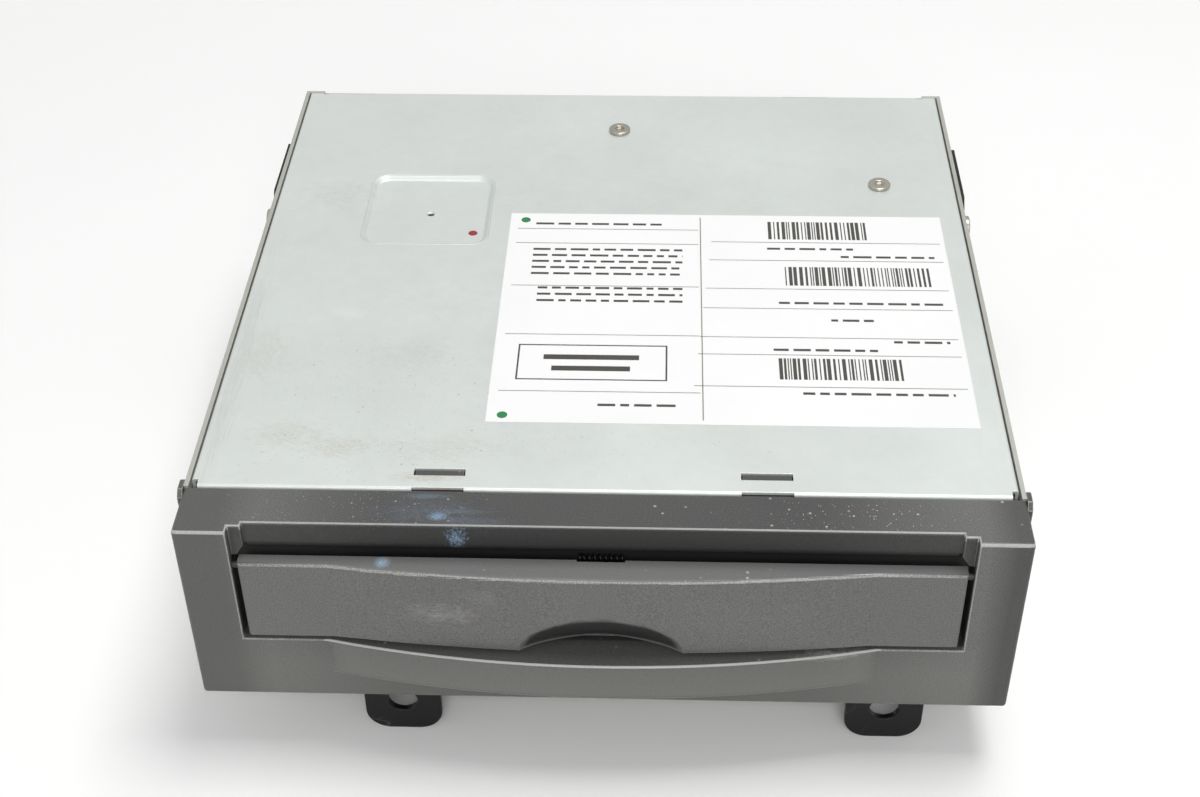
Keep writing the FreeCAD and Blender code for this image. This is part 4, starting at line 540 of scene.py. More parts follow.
class Finishes:
    """Every finish of the reader, made into materials once."""

    def __init__(self) -> None:
        """Build the materials."""
        plastic = dict(roughness=0.40, spread=0.06, grain_scale=2600.0, grain_depth=0.30,
                       wear_colour=srgb(150, 150, 148), wear=0.25, dust=0.8, specular=0.4,
                       fleck=0.26)
        shade = {"colour": srgb(96, 96, 95), "second": srgb(103, 103, 101)}
        # Painted light: the lip's front face is made lighter.
        lip_face_light = Shade((-58, FRONT - 8, 25), (58, FRONT - 0.8, 33), 1.2, srgb(128, 128, 125), 0.3)
        # Painted light: the bottom of the bezel's front is lighter, as if lit from the floor.
        lower_front_light = Shade((-80, FRONT - 8, 14), (80, FRONT + 1, 26), 10.0, srgb(124, 124, 120), 0.30)
        # Painted shade: the bezel's right and left sides, and its top at the left, are made
        # darker.
        right = Shade((86, FRONT - 8, 10), (95, 0.0, 64), 6.0, srgb(46, 46, 44), 0.65)
        left = Shade((-95, FRONT - 8, 10), (-80, 0.0, 70), 8.0, srgb(72, 72, 70), 0.55)
        # Painted shade: everything behind the bezel's front face is darker, most in the middle,
        # like a shadowed recess.
        recess_shade = (Shade((-79, FRONT + 1.6, 18), (79, 0.0, TOP - 0.9), 0.6, srgb(26, 26, 27),
                        0.72),
                  Shade((-46, FRONT + 1.6, 18), (46, 0.0, TOP - 0.9), 30.0, srgb(20, 20, 21),
                        0.5))
        # Painted shade: the bezel and the sheets are dark under the cover's two slots.
        under_slot_shade = tuple(Shade((x - 11, FRONT + 9, 40), (x + 11, FRONT + 26, 64.5), 0.3,
                            srgb(34, 34, 36), 0.85) for x in (-35, 35))
        # Painted shade: the inner sheet is dark under the sunk panel's hole.
        hole = Shade((-52, FRONT + 117, 40), (-44, FRONT + 125.5, 64.6), 0.3, srgb(30, 32, 34),
                     0.9)
        self.bezel = Finish("bezel_plastic", stains=FRONT_MARKS,
                            shades=(*recess_shade, lower_front_light, lip_face_light, left, right, *under_slot_shade), **shade,
                            **plastic).build()
        # Painted highlight: the rounded edges of the bezel and the flap take a pale finish for the
        # light that they catch.
        highlit = dict(plastic, roughness=0.30)
        highlight_colours = {"colour": srgb(156, 156, 153), "second": srgb(128, 128, 125)}
        # Painted highlight: the lip's top edge is made bright.
        crest = Shade((-60, FRONT - 9, 33.0), (60, FRONT + 0.2, 35), 0.3, srgb(205, 205, 202),
                      0.6)
        # Painted highlight: the bezel's top front edge is made bright.
        brow = Shade((-95, FRONT - 1, 64.2), (95, FRONT + 3.7, 70), 0.3, srgb(190, 190, 188),
                     0.5)
        self.bezel_edge_highlight = Finish("bezel_edge_highlight", shades=(*recess_shade, crest, brow), **highlight_colours,
                                 **highlit).build()
        self.flap_edge_highlight = Finish("flap_edge_highlight", **highlight_colours, **highlit).build()
        # Painted light: the flap's top is made lighter.
        flap_top_light = Shade((-80, FRONT - 8, 55.9), (80, 0.0, 58), 0.15, srgb(126, 126, 125), 0.6)
        # Painted shade: the inside of the finger scoop is dark.
        scoop_shade = Shade((-18, FRONT - 2.2, 36.0), (18, FRONT + 9, 47), 0.6, srgb(18, 18, 19), 0.80)
        self.flap = Finish("flap_plastic", stains=FLAP_MARKS, shades=(flap_top_light, scoop_shade), **shade,
                           **plastic).build()
        self.button = Finish("button_plastic", **shade, **plastic).build()
        sheet = dict(colour=srgb(212, 217, 213), second=srgb(217, 222, 218), roughness=0.44,
                     spread=0.12, metallic=0.35, grain_scale=900.0, grain_depth=0.05,
                     wear_colour=srgb(224, 228, 225), wear=0.5, scratch=0.12,
                     scratch_colour=srgb(184, 190, 186))
        self.cover = ZincSheet("cover_sheet", stains=COVER_MARKS, **sheet).build()
        cut_edge = Shade((-95, -100, 64.6), (95, 100, 70), 0.3, srgb(168, 165, 152), 0.8)
        self.chassis = ZincSheet("chassis_sheet", shades=(cut_edge, *under_slot_shade), **sheet).build()
        self.inner = ZincSheet("inner_sheet", shades=(*under_slot_shade, hole), **sheet).build()
        self.coating = Finish("black_coating", srgb(15, 15, 18), srgb(20, 20, 23), 0.38, 0.1,
                              specular=0.3, grain_scale=1500.0, grain_depth=0.15,
                              wear_colour=srgb(110, 110, 112), wear=0.5, scratch=0.25,
                              dust=0.4).build()
        self.nickel = Brushed("nickel_screw", srgb(190, 186, 174), srgb(172, 168, 156), 0.30,
                              0.1, metallic=1.0, wear=0.5,
                              wear_colour=srgb(222, 220, 212)).build()
        self.dark_screw = Brushed("dark_screw", srgb(94, 94, 92), srgb(76, 76, 76), 0.36, 0.1,
                                  metallic=0.9, wear=0.6,
                                  wear_colour=srgb(160, 160, 156)).build()
        self.paper = Finish("label_paper", srgb(247, 247, 246), srgb(242, 242, 241), 0.42, 0.06,
                            grain_scale=3000.0, grain_depth=0.04, wear_colour=srgb(214, 212, 205),
                            wear=0.3, scratch=0.12, scratch_colour=srgb(216, 216, 214)).build()
        self.ink = Finish("dark_ink", srgb(62, 59, 52), srgb(78, 75, 66), 0.5, 0.1,
                          grain_scale=4000.0, grain_depth=0.05, fleck=0.2).build()
        self.rule = Finish("rule_ink", srgb(112, 110, 92), srgb(132, 130, 112), 0.5, 0.1,
                           grain_scale=4000.0, grain_depth=0.05, fleck=0.2).build()
        self.green_dot = Finish("green_dot", srgb(28, 122, 66), srgb(34, 134, 74), 0.45,
                                0.1).build()
        self.red_dot = Finish("red_dot", srgb(142, 38, 40), srgb(152, 46, 46), 0.40, 0.1).build()
        self.spring = Brushed("spring_wire", srgb(150, 150, 146), srgb(132, 132, 128), 0.3, 0.1,
                              metallic=1.0, line_scale=2600.0).build()
        self.black_wire = Brushed("blackened_wire", srgb(52, 52, 52), srgb(44, 44, 44), 0.4, 0.1,
                                  metallic=0.8, line_scale=2600.0).build()
        self.black_plastic = Finish("black_plastic", srgb(38, 38, 40), srgb(44, 44, 46), 0.42,
                                    0.1, grain_depth=0.2, wear=0.25, dust=0.2,
                                    wear_colour=srgb(90, 90, 90)).build()
        self.felt = FeltPile("slot_felt", srgb(18, 18, 19), srgb(24, 24, 25), 0.9, 0.05,
                             grain_scale=3600.0, grain_depth=0.9, specular=0.15).build()
        self.rubber = Finish("moulded_rubber", srgb(40, 40, 41), srgb(48, 48, 48), 0.7, 0.1,
                             grain_scale=1400.0, grain_depth=0.4, specular=0.3).build()
        self.acetal = Finish("white_acetal", srgb(226, 223, 212), srgb(218, 214, 202), 0.38, 0.1,
                             grain_depth=0.08, wear=0.2,
                             wear_colour=srgb(240, 238, 230)).build()
        self.motor = Brushed("motor_can", srgb(170, 170, 166), srgb(158, 158, 154), 0.28, 0.1,
                             metallic=1.0, line_scale=700.0, wear=0.4,
                             wear_colour=srgb(215, 215, 212)).build()
        self.ground = Brushed("ground_steel", srgb(196, 196, 196), srgb(186, 186, 186), 0.18,
                              0.06, metallic=1.0, line_scale=3000.0, line_amount=0.2,
                              direction=(0.05, 1.0, 1.0)).build()
        self.brass = Brushed("turned_brass", srgb(196, 160, 84), srgb(180, 146, 74), 0.28, 0.1,
                             metallic=1.0).build()
        self.gold = Brushed("plated_contact", srgb(214, 176, 92), srgb(204, 164, 80), 0.22, 0.08,
                            metallic=1.0).build()
        self.board = BoardLacquer("board_lacquer", srgb(18, 82, 46), srgb(22, 92, 50), 0.3, 0.08,
                                  coat=0.3, grain_depth=0.05).build()
        self.chip = Finish("chip_package", srgb(34, 34, 36), srgb(42, 42, 43), 0.5, 0.08,
                           grain_scale=5200.0, grain_depth=0.3, wear=0.2,
                           wear_colour=srgb(80, 80, 80)).build()
        self.sink = Brushed("extruded_aluminium", srgb(186, 188, 190), srgb(176, 178, 180), 0.34,
                            0.1, metallic=1.0, direction=(1.0, 0.04, 1.0), wear=0.4,
                            wear_colour=srgb(226, 226, 228)).build()
        self.tinned = Brushed("tinned_sheet", srgb(196, 196, 190), srgb(184, 184, 178), 0.34, 0.1,
                              metallic=0.95, line_amount=0.08, wear=0.4,
                              wear_colour=srgb(226, 226, 222)).build()
        self.can = Brushed("capacitor_can", srgb(190, 192, 198), srgb(180, 182, 188), 0.26, 0.08,
                           metallic=1.0).build()
        self.lens = Finish("coated_lens", srgb(150, 160, 200), srgb(140, 152, 196), 0.05, 0.02,
                           transmission=0.85, grain_depth=0.0).build()
        self.window = Finish("clear_window", srgb(214, 218, 212), srgb(206, 210, 204), 0.16, 0.04,
                             transmission=0.7, grain_depth=0.05).build()
        self.film = Finish("thin_film", srgb(54, 54, 56), srgb(60, 60, 62), 0.34, 0.08,
                           grain_depth=0.1).build()
        self.ribbon = Brushed("flat_ribbon", srgb(206, 202, 188), srgb(196, 192, 178), 0.4, 0.08,
                              line_scale=900.0, line_amount=0.5,
                              direction=(1.0, 0.01, 0.01)).build()


FINISH = Finishes()


# Meshes


def mesh_piece(name: str, points: np.ndarray, faces: Faces, material: Material,
               smooth: bool = True, closed: bool = True) -> Object:
    """Object at the origin from points in millimetres.

    Args:
        name: object name.
        points: N by 3 array.
        faces: point numbers of every face.
        material: its finish.
        smooth: True for smooth shading.
        closed: True where the faces are turned outwards.

    Returns:
        The new object.
    """
    mesh = bpy.data.meshes.new(name)
    mesh.from_pydata((points * MM).tolist(), [], faces)
    mesh.polygons.foreach_set("use_smooth", np.full(len(mesh.polygons), smooth))
    mesh.materials.append(material)
    mesh.update()
    made = bpy.data.objects.new(name, mesh)
    bpy.context.scene.collection.objects.link(made)
    if closed:
        work = bmesh.new()
        work.from_mesh(mesh)
        bmesh.ops.recalc_face_normals(work, faces=work.faces)
        work.to_mesh(mesh)
        work.free()
    return made


def grid_faces(rows: int, columns: int, around: bool = True, loop: bool = False) -> Faces:
    """Quads of a grid of points numbered row by row.

    Args:
        rows: number of rows.
        columns: points in a row.
        around: True where the last column joins the first.
        loop: True where the last row joins the first.

    Returns:
        List of quads.
    """
    row, column = np.meshgrid(np.arange(rows if loop else rows - 1),
                              np.arange(columns if around else columns - 1), indexing="ij")
    below, beside = (row + 1) % rows, (column + 1) % columns
    return np.stack([row * columns + column, row * columns + beside, below * columns + beside,
                     below * columns + column], axis=-1).reshape(-1, 4).tolist()


def tube(name: str, rings: np.ndarray, ends: Sequence[Sequence[float]], material: Material,
         smooth: bool = True) -> Object:
    """Closed tube: rings of points joined in order, with a fan to one point at each end.

    Args:
        name: object name.
        rings: R by C by 3 points in millimetres.
        ends: the first and the last end's point.
        material: its finish.
        smooth: True for smooth shading.

    Returns:
        The tube.
    """
    rows, columns = rings.shape[:2]
    count, last = rows * columns, (rows - 1) * columns
    step = np.arange(columns)
    after = (step + 1) % columns
    first_fan = np.stack([after, step, np.full(columns, count)], axis=-1).tolist()
    last_fan = np.stack([last + step, last + after, np.full(columns, count + 1)],
                        axis=-1).tolist()
    points = np.vstack([rings.reshape(-1, 3), np.array(ends, float)])
    return mesh_piece(name, points, grid_faces(rows, columns) + first_fan + last_fan, material,
                      smooth)


def swept(name: str, path: np.ndarray, radius: float, material: Material,
          sides: int = 10) -> Object:
    """Round wire: a circle of points carried square to a path, with a closed dome at each end.

    Args:
        name: object name.
        path: N by 3 points in millimetres.
        radius: wire radius in millimetres.
        material: its finish.
        sides: points round the wire.

    Returns:
        The wire.
    """
    tangent = np.gradient(path, axis=0)
    tangent /= np.linalg.norm(tangent, axis=1, keepdims=True)
    side = np.cross(tangent, np.array([0.31, 0.57, 0.76]))
    side /= np.linalg.norm(side, axis=1, keepdims=True)
    other = np.cross(tangent, side)
    angle = np.linspace(0, 2 * np.pi, sides, endpoint=False)[None, :, None]
    ring = np.cos(angle) * side[:, None, :] + np.sin(angle) * other[:, None, :]
    dome = radius * 0.6
    return tube(name, path[:, None, :] + radius * ring,
                (path[0] - tangent[0] * dome, path[-1] + tangent[-1] * dome), material)


def helix(centre: Sequence[float], axis: Axis, radius: float, length: float, turns: float,
          per_turn: int = 24) -> np.ndarray:
    """Points of a coil: a circle that advances steadily along an axis, flat at its ends.

    Args:
        centre: start of the coil's axis.
        axis: direction that it advances in.
        radius: coil radius.
        length: how far it advances.
        turns: number of turns.
        per_turn: points in one turn.

    Returns:
        N by 3 points.
    """
    step = np.linspace(0, 1, int(turns * per_turn) + 1)
    angle = step * turns * 2 * np.pi
    points = np.zeros((len(step), 3))
    first, second = {Axis.X: (1, 2), Axis.Y: (2, 0), Axis.Z: (0, 1)}[axis]
    ease = np.clip((step * turns - 0.6) / (turns - 1.2), 0, 1)
    points[:, first] = radius * np.cos(angle)
    points[:, second] = radius * np.sin(angle)
    points[:, axis.value] = length * ease
    return points + np.asarray(centre, float)


def joined(name: str, parts: list[Object]) -> Object:
    """Join objects at the origin into one."""
    bpy.ops.object.select_all(action="DESELECT")
    for part in parts:
        part.select_set(True)
    bpy.context.view_layer.objects.active = parts[0]
    bpy.ops.object.join()
    parts[0].name = parts[0].data.name = name
    return parts[0]


@dataclass(frozen=True)
class Rounding:
    """Which edges of a copy are rounded, and how wide, in millimetres.

    zones holds boxes (x0, x1, y0, y1, z0, z1, width): an edge with both ends in a box takes that
    box's width, the last box that holds it winning. Other sharp edges take the plain width. The
    faces that lean in the highlit box take the edge finish, a painted highlight.
    """

    width: float = 0.2
    segments: int = 2
    angle: float = 32.0
    zones: tuple[tuple[float, ...], ...] = ()
    merge: float = 0.002
    clamp: bool = True
    highlit: Optional[tuple[float, ...]] = None
    lean: tuple[float, float] = (0.3, 0.9)

    def widest(self) -> float:
        """Largest width that any edge takes."""
        return max([self.width] + [zone[6] for zone in self.zones])

    def takes_highlight(self, face: bmesh.types.BMFace) -> bool:
        """Whether a face takes the painted highlight: it lies in the highlit box and leans between
        level and upright.
        """
        if not self.highlit:
            return False
        x0, x1, y0, y1, z0, z1, _ = self.highlit
        x, y, z = face.calc_center_median() / MM
        held = x0 < x < x1 and y0 < y < y1 and z0 < z < z1
        return held and self.lean[0] < face.normal.z < self.lean[1]

    def weights(self, work: bmesh.types.BMesh) -> np.ndarray:
        """Share of the widest width for every edge of a mesh.

        Args:
            work: merged mesh.

        Returns:
            One value per edge, 0 where it stays sharp.
        """
        turn = np.array([edge.calc_face_angle(0.0) if edge.is_manifold else 0.0
                         for edge in work.edges])
        ends = np.array([[tuple(vertex.co) for vertex in edge.verts] for edge in work.edges]) / MM
        size = np.full(len(turn), self.width)
        for x0, x1, y0, y1, z0, z1, width in self.zones:
            low, high = np.array([x0, y0, z0]), np.array([x1, y1, z1])
            inside = ((ends > low) & (ends < high)).all(axis=(1, 2))
            size[inside] = width
        sharp = turn > math.radians(self.angle)
        return np.where(sharp, size / self.widest(), 0.0)


def softened(node: str, material: Material, rounding: Rounding,
             edge: Optional[Material] = None) -> Object:
    """Copy of a CAD node with its sharp edges really rounded.

    The copy's loose triangles are joined, flat faces dissolved, and a Bevel modifier rounds the
    edges by the weights that the rounding gives them.

    Args:
        node: CAD node name.
        material: its finish.
        rounding: which edges are rounded, and how wide.
        edge: painted-highlight finish of the rounded edges, where it differs.

    Returns:
        The piece that replaces the node.
    """
    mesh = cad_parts[node].data.copy()
    mesh.name = node + "_dressed"
    work = bmesh.new()
    work.from_mesh(mesh)
    bmesh.ops.remove_doubles(work, verts=work.verts, dist=rounding.merge * MM)
    bmesh.ops.dissolve_limit(work, angle_limit=math.radians(1.0), verts=work.verts,
                             edges=work.edges)
    work.edges.ensure_lookup_table()
    layer = work.edges.layers.float.new("bevel_weight_edge")
    for line, weight in zip(work.edges, rounding.weights(work)):
        line[layer] = weight
        line.smooth = True
    for face in work.faces:
        face.smooth = True
        # Faces in the highlit box take the painted-highlight finish.
        face.material_index = int(bool(edge) and rounding.takes_highlight(face))
    mesh.materials.clear()
    for finish in filter(None, (material, edge)):
        mesh.materials.append(finish)
    work.to_mesh(mesh)
    work.free()
    if "custom_normal" in mesh.attributes:
        mesh.attributes.remove(mesh.attributes["custom_normal"])
    made = bpy.data.objects.new(node + "_dressed", mesh)
    bpy.context.scene.collection.objects.link(made)
    bevel = made.modifiers.new("rounding", "BEVEL")
    bevel.width = rounding.widest() * MM
    bevel.segments = rounding.segments
    bevel.limit_method = "WEIGHT"
    bevel.use_clamp_overlap = rounding.clamp
    bevel.loop_slide = False
    # The bevel's faces take the painted-highlight finish.
    if edge:
        bevel.material = 1
    made.modifiers.new("shading", "WEIGHTED_NORMAL").weight = 90
    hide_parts(node)
    return made


# Sub-assemblies


class Row(NamedTuple):
    """A CAD node that gets a rounded copy, with its edge width in millimetres."""

    node: str
    finish: Material
    slot: str
    width: float = 0.2
    segments: int = 2
    body: str = "casing"


@dataclass
class SubAssembly:
    """A group of pieces that are dressed together."""

    rows: tuple[Row, ...] = ()
    made: list[str] = field(default_factory=list)

    def build(self) -> None:
        """Dress the rows."""
        for row in self.rows:
            self.soft(row)

    def soft(self, row: Row, rounding: Optional[Rounding] = None,
             edge: Optional[Material] = None) -> None:
        """Replace a CAD node by its rounded copy, riding on its body."""
        plain = Rounding(row.width, row.segments)
        self.keep(softened(row.node, row.finish, rounding or plain, edge), row.body, row.slot)

    def keep(self, piece: Object, body: str, slot: str, replaced: Sequence[str] = ()) -> None:
        """Put a new piece on a body, in place of some nodes where they are named."""
        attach(piece, body)
        if replaced:
            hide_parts(*replaced)
        self.made.append(piece.name)

    def report(self) -> None:
        """Log the pieces."""
        log.info("%s: %d pieces, %s", type(self).__name__, len(self.made), ", ".join(self.made))


@dataclass
class FrontPanel(SubAssembly):
    """Bezel, flap, slot strips, eject button and what stands behind them."""

    rows: tuple[Row, ...] = (
        Row("flap_pins", FINISH.black_plastic, "ground_steel", 0.15, 2, "flap"),
        Row("eject_button", FINISH.button, "bezel_plastic", 0.2, 3, "eject_button"),
        Row("switch_plunger", FINISH.acetal, "white_plastic", 0.15, 2, "eject_button"),
        Row("eject_switch", FINISH.black_plastic, "black_plastic", 0.15),
        Row("front_board", FINISH.board, "board_green", 0.1, 1),
        Row("front_board_posts", FINISH.bezel, "black_plastic", 0.1, 1),
        Row("front_board_screws", FINISH.dark_screw, "dark_screw", 0.25),
        Row("light_window", FINISH.window, "clear_plastic"))
    crest_edge: float = 0.4
    coil_start: Triple = (-4.5, FRONT + 5.25, TOP - 10.45)
    coil_radius: float = 0.65
    coil_length: float = 9.0
    coil_turns: float = 9.0
    coil_wire: float = 0.24

    def build(self) -> None:
        """Dress every piece of the front."""
        outer = (-95, 95, FRONT - 9, FRONT + 2.4, 10, 70, 0.3)
        brow = (-95, 95, FRONT - 1, FRONT + 3.6, 64.5, 70, 0.3)
        # rounded marks the faces at the bezel's top front edge that take the painted highlight.
        rounded = (-95, 95, FRONT - 0.3, FRONT + 1.2, 64.2, 65.5, 0.0)
        crest = (-59.6, 59.6, FRONT - 9, FRONT + 0.3, 33, 35, self.crest_edge)
        self.soft(Row("front_bezel", FINISH.bezel, "bezel_plastic"),
                  Rounding(0.12, 3, 24.0, (outer, brow, crest), 0.02, False, rounded),
                  FINISH.bezel_edge_highlight)
        face = (-95, 95, FRONT - 9, FRONT + 2.2, 10, 54.0, 0.3)
        # crease also marks the flap's crease faces that take the painted highlight.
        crease = (-95, 95, FRONT - 9, FRONT + 1.6, 54.0, 58, 0.0)
        self.soft(Row("flap", FINISH.flap, "bezel_plastic", body="flap"),
                  Rounding(0.12, 3, 34.0, (face, crease), 0.002, True, crease),
                  FINISH.flap_edge_highlight)
        super().build()
        for node in ("felt_strip_lower", "felt_strip_upper"):
            self.brush(node)
        coil = helix(self.coil_start, Axis.X, self.coil_radius, self.coil_length, self.coil_turns)
        self.keep(swept("flap_coil", coil, self.coil_wire, FINISH.black_wire), "casing",
                  "spring_steel", ["flap_spring"])

    def brush(self, node: str) -> None:
        """Dust strip: a wavy pile surface round a flat core.

        The strip's section is a rounded bar whose front edge moves in and out with two sines of
        the length, so that it looks like cut pile.

        Args:
            node: the strip's CAD node.
        """
        low, high = (np.array(corner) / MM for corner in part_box(node))
        length = np.linspace(low[0], high[0], 420)
        around = np.linspace(0, 2 * np.pi, 12, endpoint=False)
        middle, half = (low + high) / 2, (high - low) / 2
        wave = 0.93 + 0.05 * np.sin(length * 9.1) + 0.02 * np.sin(length * 23.7 + 1.3)
        flat, tall = (np.sign(part) * np.abs(part) ** 0.55
                      for part in (np.cos(around), np.sin(around)))
        points = np.empty((len(length), len(around), 3))
        points[..., 0] = length[:, None]
        points[..., 1] = middle[1] + half[1] * flat[None, :] * wave[:, None]
        points[..., 2] = middle[2] + half[2] * tall[None, :]
        ends = [(side, middle[1], middle[2]) for side in (low[0], high[0])]
        self.keep(tube(node + "_pile", points, ends, FINISH.felt, False), "casing", "felt",
                  [node])


@dataclass
class Casing(SubAssembly):
    """Chassis tray, cover with its sunk panel, label sheet, screws and rivets."""

    rows: tuple[Row, ...] = (
        Row("cover_screws", FINISH.nickel, "screw_metal"),
        Row("side_screws", FINISH.nickel, "screw_metal", 0.3),
        Row("frame_rivets", FINISH.nickel, "screw_metal"),
        Row("main_board_screws", FINISH.dark_screw, "dark_screw", 0.3),
        Row("insulating_film", FINISH.film, "film", 0.05, 1),
        Row("label_sticker", FINISH.paper, "paper", 0.05, 1))
    middle: tuple[float, float] = (-47.9, 121.2)
    half: float = 16.0
    corner: float = 4.5
    depth: float = 0.9
    slope: float = 1.5

    def build(self) -> None:
        """Dress every piece of the casing."""
        self.soft(Row("chassis_tray", FINISH.chassis, "zinc_steel", 0.15, 1))
        sunk = (-65, -31, FRONT + 104, FRONT + 138.5, 64.4, 66.2, 0.0)
        self.soft(Row("top_cover", FINISH.cover, "cover_steel"),
                  Rounding(0.12, 3, 32.0, (sunk,), 0.002, False))
        self.keep(self.drawn_wall(), "casing", "cover_steel")
        super().build()

    def drawn_wall(self) -> Object:
        """Sloping wall of the sunk panel.

        A ring follows a square with round corners. Across the ring the height falls from the
        cover to the panel's floor as a smooth step of the distance from the pocket's wall.

        Returns:
            The ring.
        """
        share = np.linspace(0, 1, 9)
        inward = np.concatenate([share * self.slope - 0.02, [self.slope, -0.02]])
        fall = share ** 2 * (3 - 2 * share)
        under = COVER - self.depth - 0.02
        level = np.concatenate([COVER - 0.005 - (self.depth - 0.01) * fall, [under, under]])
        turn = np.linspace(0, np.pi / 2, 14)
        angle = (np.arange(4)[:, None] * np.pi / 2 + turn[None, :]).ravel()
        corner = np.repeat(np.array([[1, 1], [-1, 1], [-1, -1], [1, -1]]), len(turn), axis=0)
        radius = self.corner - inward[None, :]
        centre = (self.half - self.corner) * corner[:, None, :]
        way = np.stack([np.cos(angle), np.sin(angle)], axis=-1)[:, None, :]
        points = np.empty((len(angle), len(inward), 3))
        points[..., :2] = centre + radius[..., None] * way + self.middle + (0.0, FRONT)
        points[..., 2] = level[None, :]
        return mesh_piece("panel_wall", points.reshape(-1, 3),
                          grid_faces(len(angle), len(inward), loop=True), FINISH.cover)


@dataclass
class Label(SubAssembly):
    """Print on the paper label: rules, bar blocks and lines of dashes, with no lettering.

    Places are in millimetres from the middle of the bezel's front face. blocks and strokes are
    (x0, x1, y0, y1), dashes are (x0, x1, y), and the rules are given by their y alone.
    """

    level: float = COVER + 0.12
    rise: float = 0.02
    blocks: tuple[tuple[float, ...], ...] = (
        (38.5, 63.5, 108.8, 116.6), (42.0, 77.5, 89.0, 96.8), (39.0, 68.0, 52.4, 60.2))
    dashes: tuple[tuple[float, ...], ...] = (
        (38, 60, 104.2), (56, 79, 100.9), (40, 79, 81.4), (52, 62, 74.6), (66, 79, 66.4),
        (38, 62, 63.0), (44, 78, 47.0), (-20, 12, 114.4), (-20, 17, 103.0), (-20, 17, 100.4),
        (-20, 17, 97.8), (-20, 17, 95.2), (-20, 17, 92.6), (-18, 17, 86.6), (-18, 17, 84.0),
        (-18, 17, 81.4), (-2, 16, 42.0))
    strokes: tuple[tuple[float, ...], ...] = (
        (-21, 13.5, 51.2, 51.6), (-21, 13.5, 64.0, 64.4), (-21, -20.6, 51.6, 64.0),
        (13.1, 13.5, 51.6, 64.0), (-15, 7, 58.8, 60.6), (-13, 5, 54.6, 56.4))
    right_rules: tuple[float, ...] = (107.3, 99.4, 87.4, 79.4, 68.0, 61.4, 49.6)
    left_rules: tuple[float, ...] = (112.4, 106.0, 87.8, 68.2, 47.0)
    seed: int = 7

    def marks(self) -> list[tuple[float, ...]]:
        """All printed marks.

        Returns:
            Rectangles (x0, x1, y0, y1).
        """
        bars = []
        rng = np.random.default_rng(self.seed)
        for x, x1, y0, y1 in self.blocks:
            while x < x1 - 0.8:
                wide = (0.28, 0.28, 0.56, 0.28, 0.84)[int(rng.integers(5))]
                bars.append((x, min(x + wide, x1), y0, y1))
                x += wide + (0.3, 0.6)[int(rng.integers(2))]
        for x, x1, y in self.dashes:
            while x < x1:
                wide = float(rng.uniform(1.6, 4.6))
                bars.append((x, min(x + wide, x1), y, y + 0.85))
                x += wide + 1.1
        return bars + list(self.strokes)

    def rules(self) -> list[tuple[float, ...]]:
        """Thin ruled lines, upright and level."""
        thin = 0.22
        bars = [(18.5 + (y - 36) * 0.08, 81.0, y, y + thin) for y in self.right_rules]
        bars += [(-24.5, 21.0, y, y + thin) for y in self.left_rules]
        return bars + [(21.4, 21.65, 37.5, 118.2)]

    def slab(self, name: str, bars: list[tuple[float, ...]], material: Material) -> Object:
        """One object of thin closed boxes on the label."""
        x0, x1, y0, y1 = np.array(bars, float).T
        flat = np.stack([np.stack([x0, x1, x1, x0], -1), np.stack([y0, y0, y1, y1], -1)], -1)
        count = len(bars)
        points = np.empty((count, 8, 3))
        points[:, :4, :2] = points[:, 4:, :2] = flat
        points[..., 1] += FRONT
        points[:, :4, 2] = self.level - 0.01
        points[:, 4:, 2] = self.level + self.rise
        box = np.array([[3, 2, 1, 0], [4, 5, 6, 7], [0, 1, 5, 4], [1, 2, 6, 5], [2, 3, 7, 6],
                        [3, 0, 4, 7]])
        faces = (np.arange(count)[:, None, None] * 8 + box[None]).reshape(-1, 4).tolist()
        return mesh_piece(name, points.reshape(-1, 3), faces, material, False)

    def disc(self, name: str, x: float, y: float, level: float, radius: float, rise: float,
             material: Material) -> Object:
        """Low round dot: rings whose height falls as a circle's arc towards the rim."""
        arc = np.linspace(0, np.pi / 2, 5)[1:, None]
        angle = np.linspace(0, 2 * np.pi, 24, endpoint=False)[None, :]
        points = np.empty((4, 24, 3))
        points[..., 0] = x + radius * np.sin(arc) * np.cos(angle)
        points[..., 1] = y + FRONT + radius * np.sin(arc) * np.sin(angle)
        points[..., 2] = level - 0.01 + (rise + 0.01) * np.cos(arc)
        ends = [(x, y + FRONT, level + rise), (x, y + FRONT, level - 0.01)]
        return tube(name, points, ends, material)

    def build(self) -> None:
        """Make the print and the dots."""
        self.keep(self.slab("label_print", self.marks(), FINISH.ink), "casing", "paper")
        self.keep(self.slab("label_rules", self.rules(), FINISH.rule), "casing", "paper")
        for name, x, y in (("label_dot_far", -22.7, 116.4), ("label_dot_near", -23.0, 38.5)):
            self.keep(self.disc(name, x, y, self.level, 1.25, 0.03, FINISH.green_dot), "casing",
                      "paper")
        dot = self.disc("paint_dot", -35.9, 111.6, COVER - 0.88, 1.15, 0.12, FINISH.red_dot)
        self.keep(dot, "casing", "cover_steel")


@dataclass
class Bracket(SubAssembly):
    """Mounting bracket and its screws."""

    rows: tuple[Row, ...] = (
        Row("mounting_bracket", FINISH.coating, "black_steel", 0.25),
        Row("bracket_screws", FINISH.dark_screw, "dark_screw", 0.35))


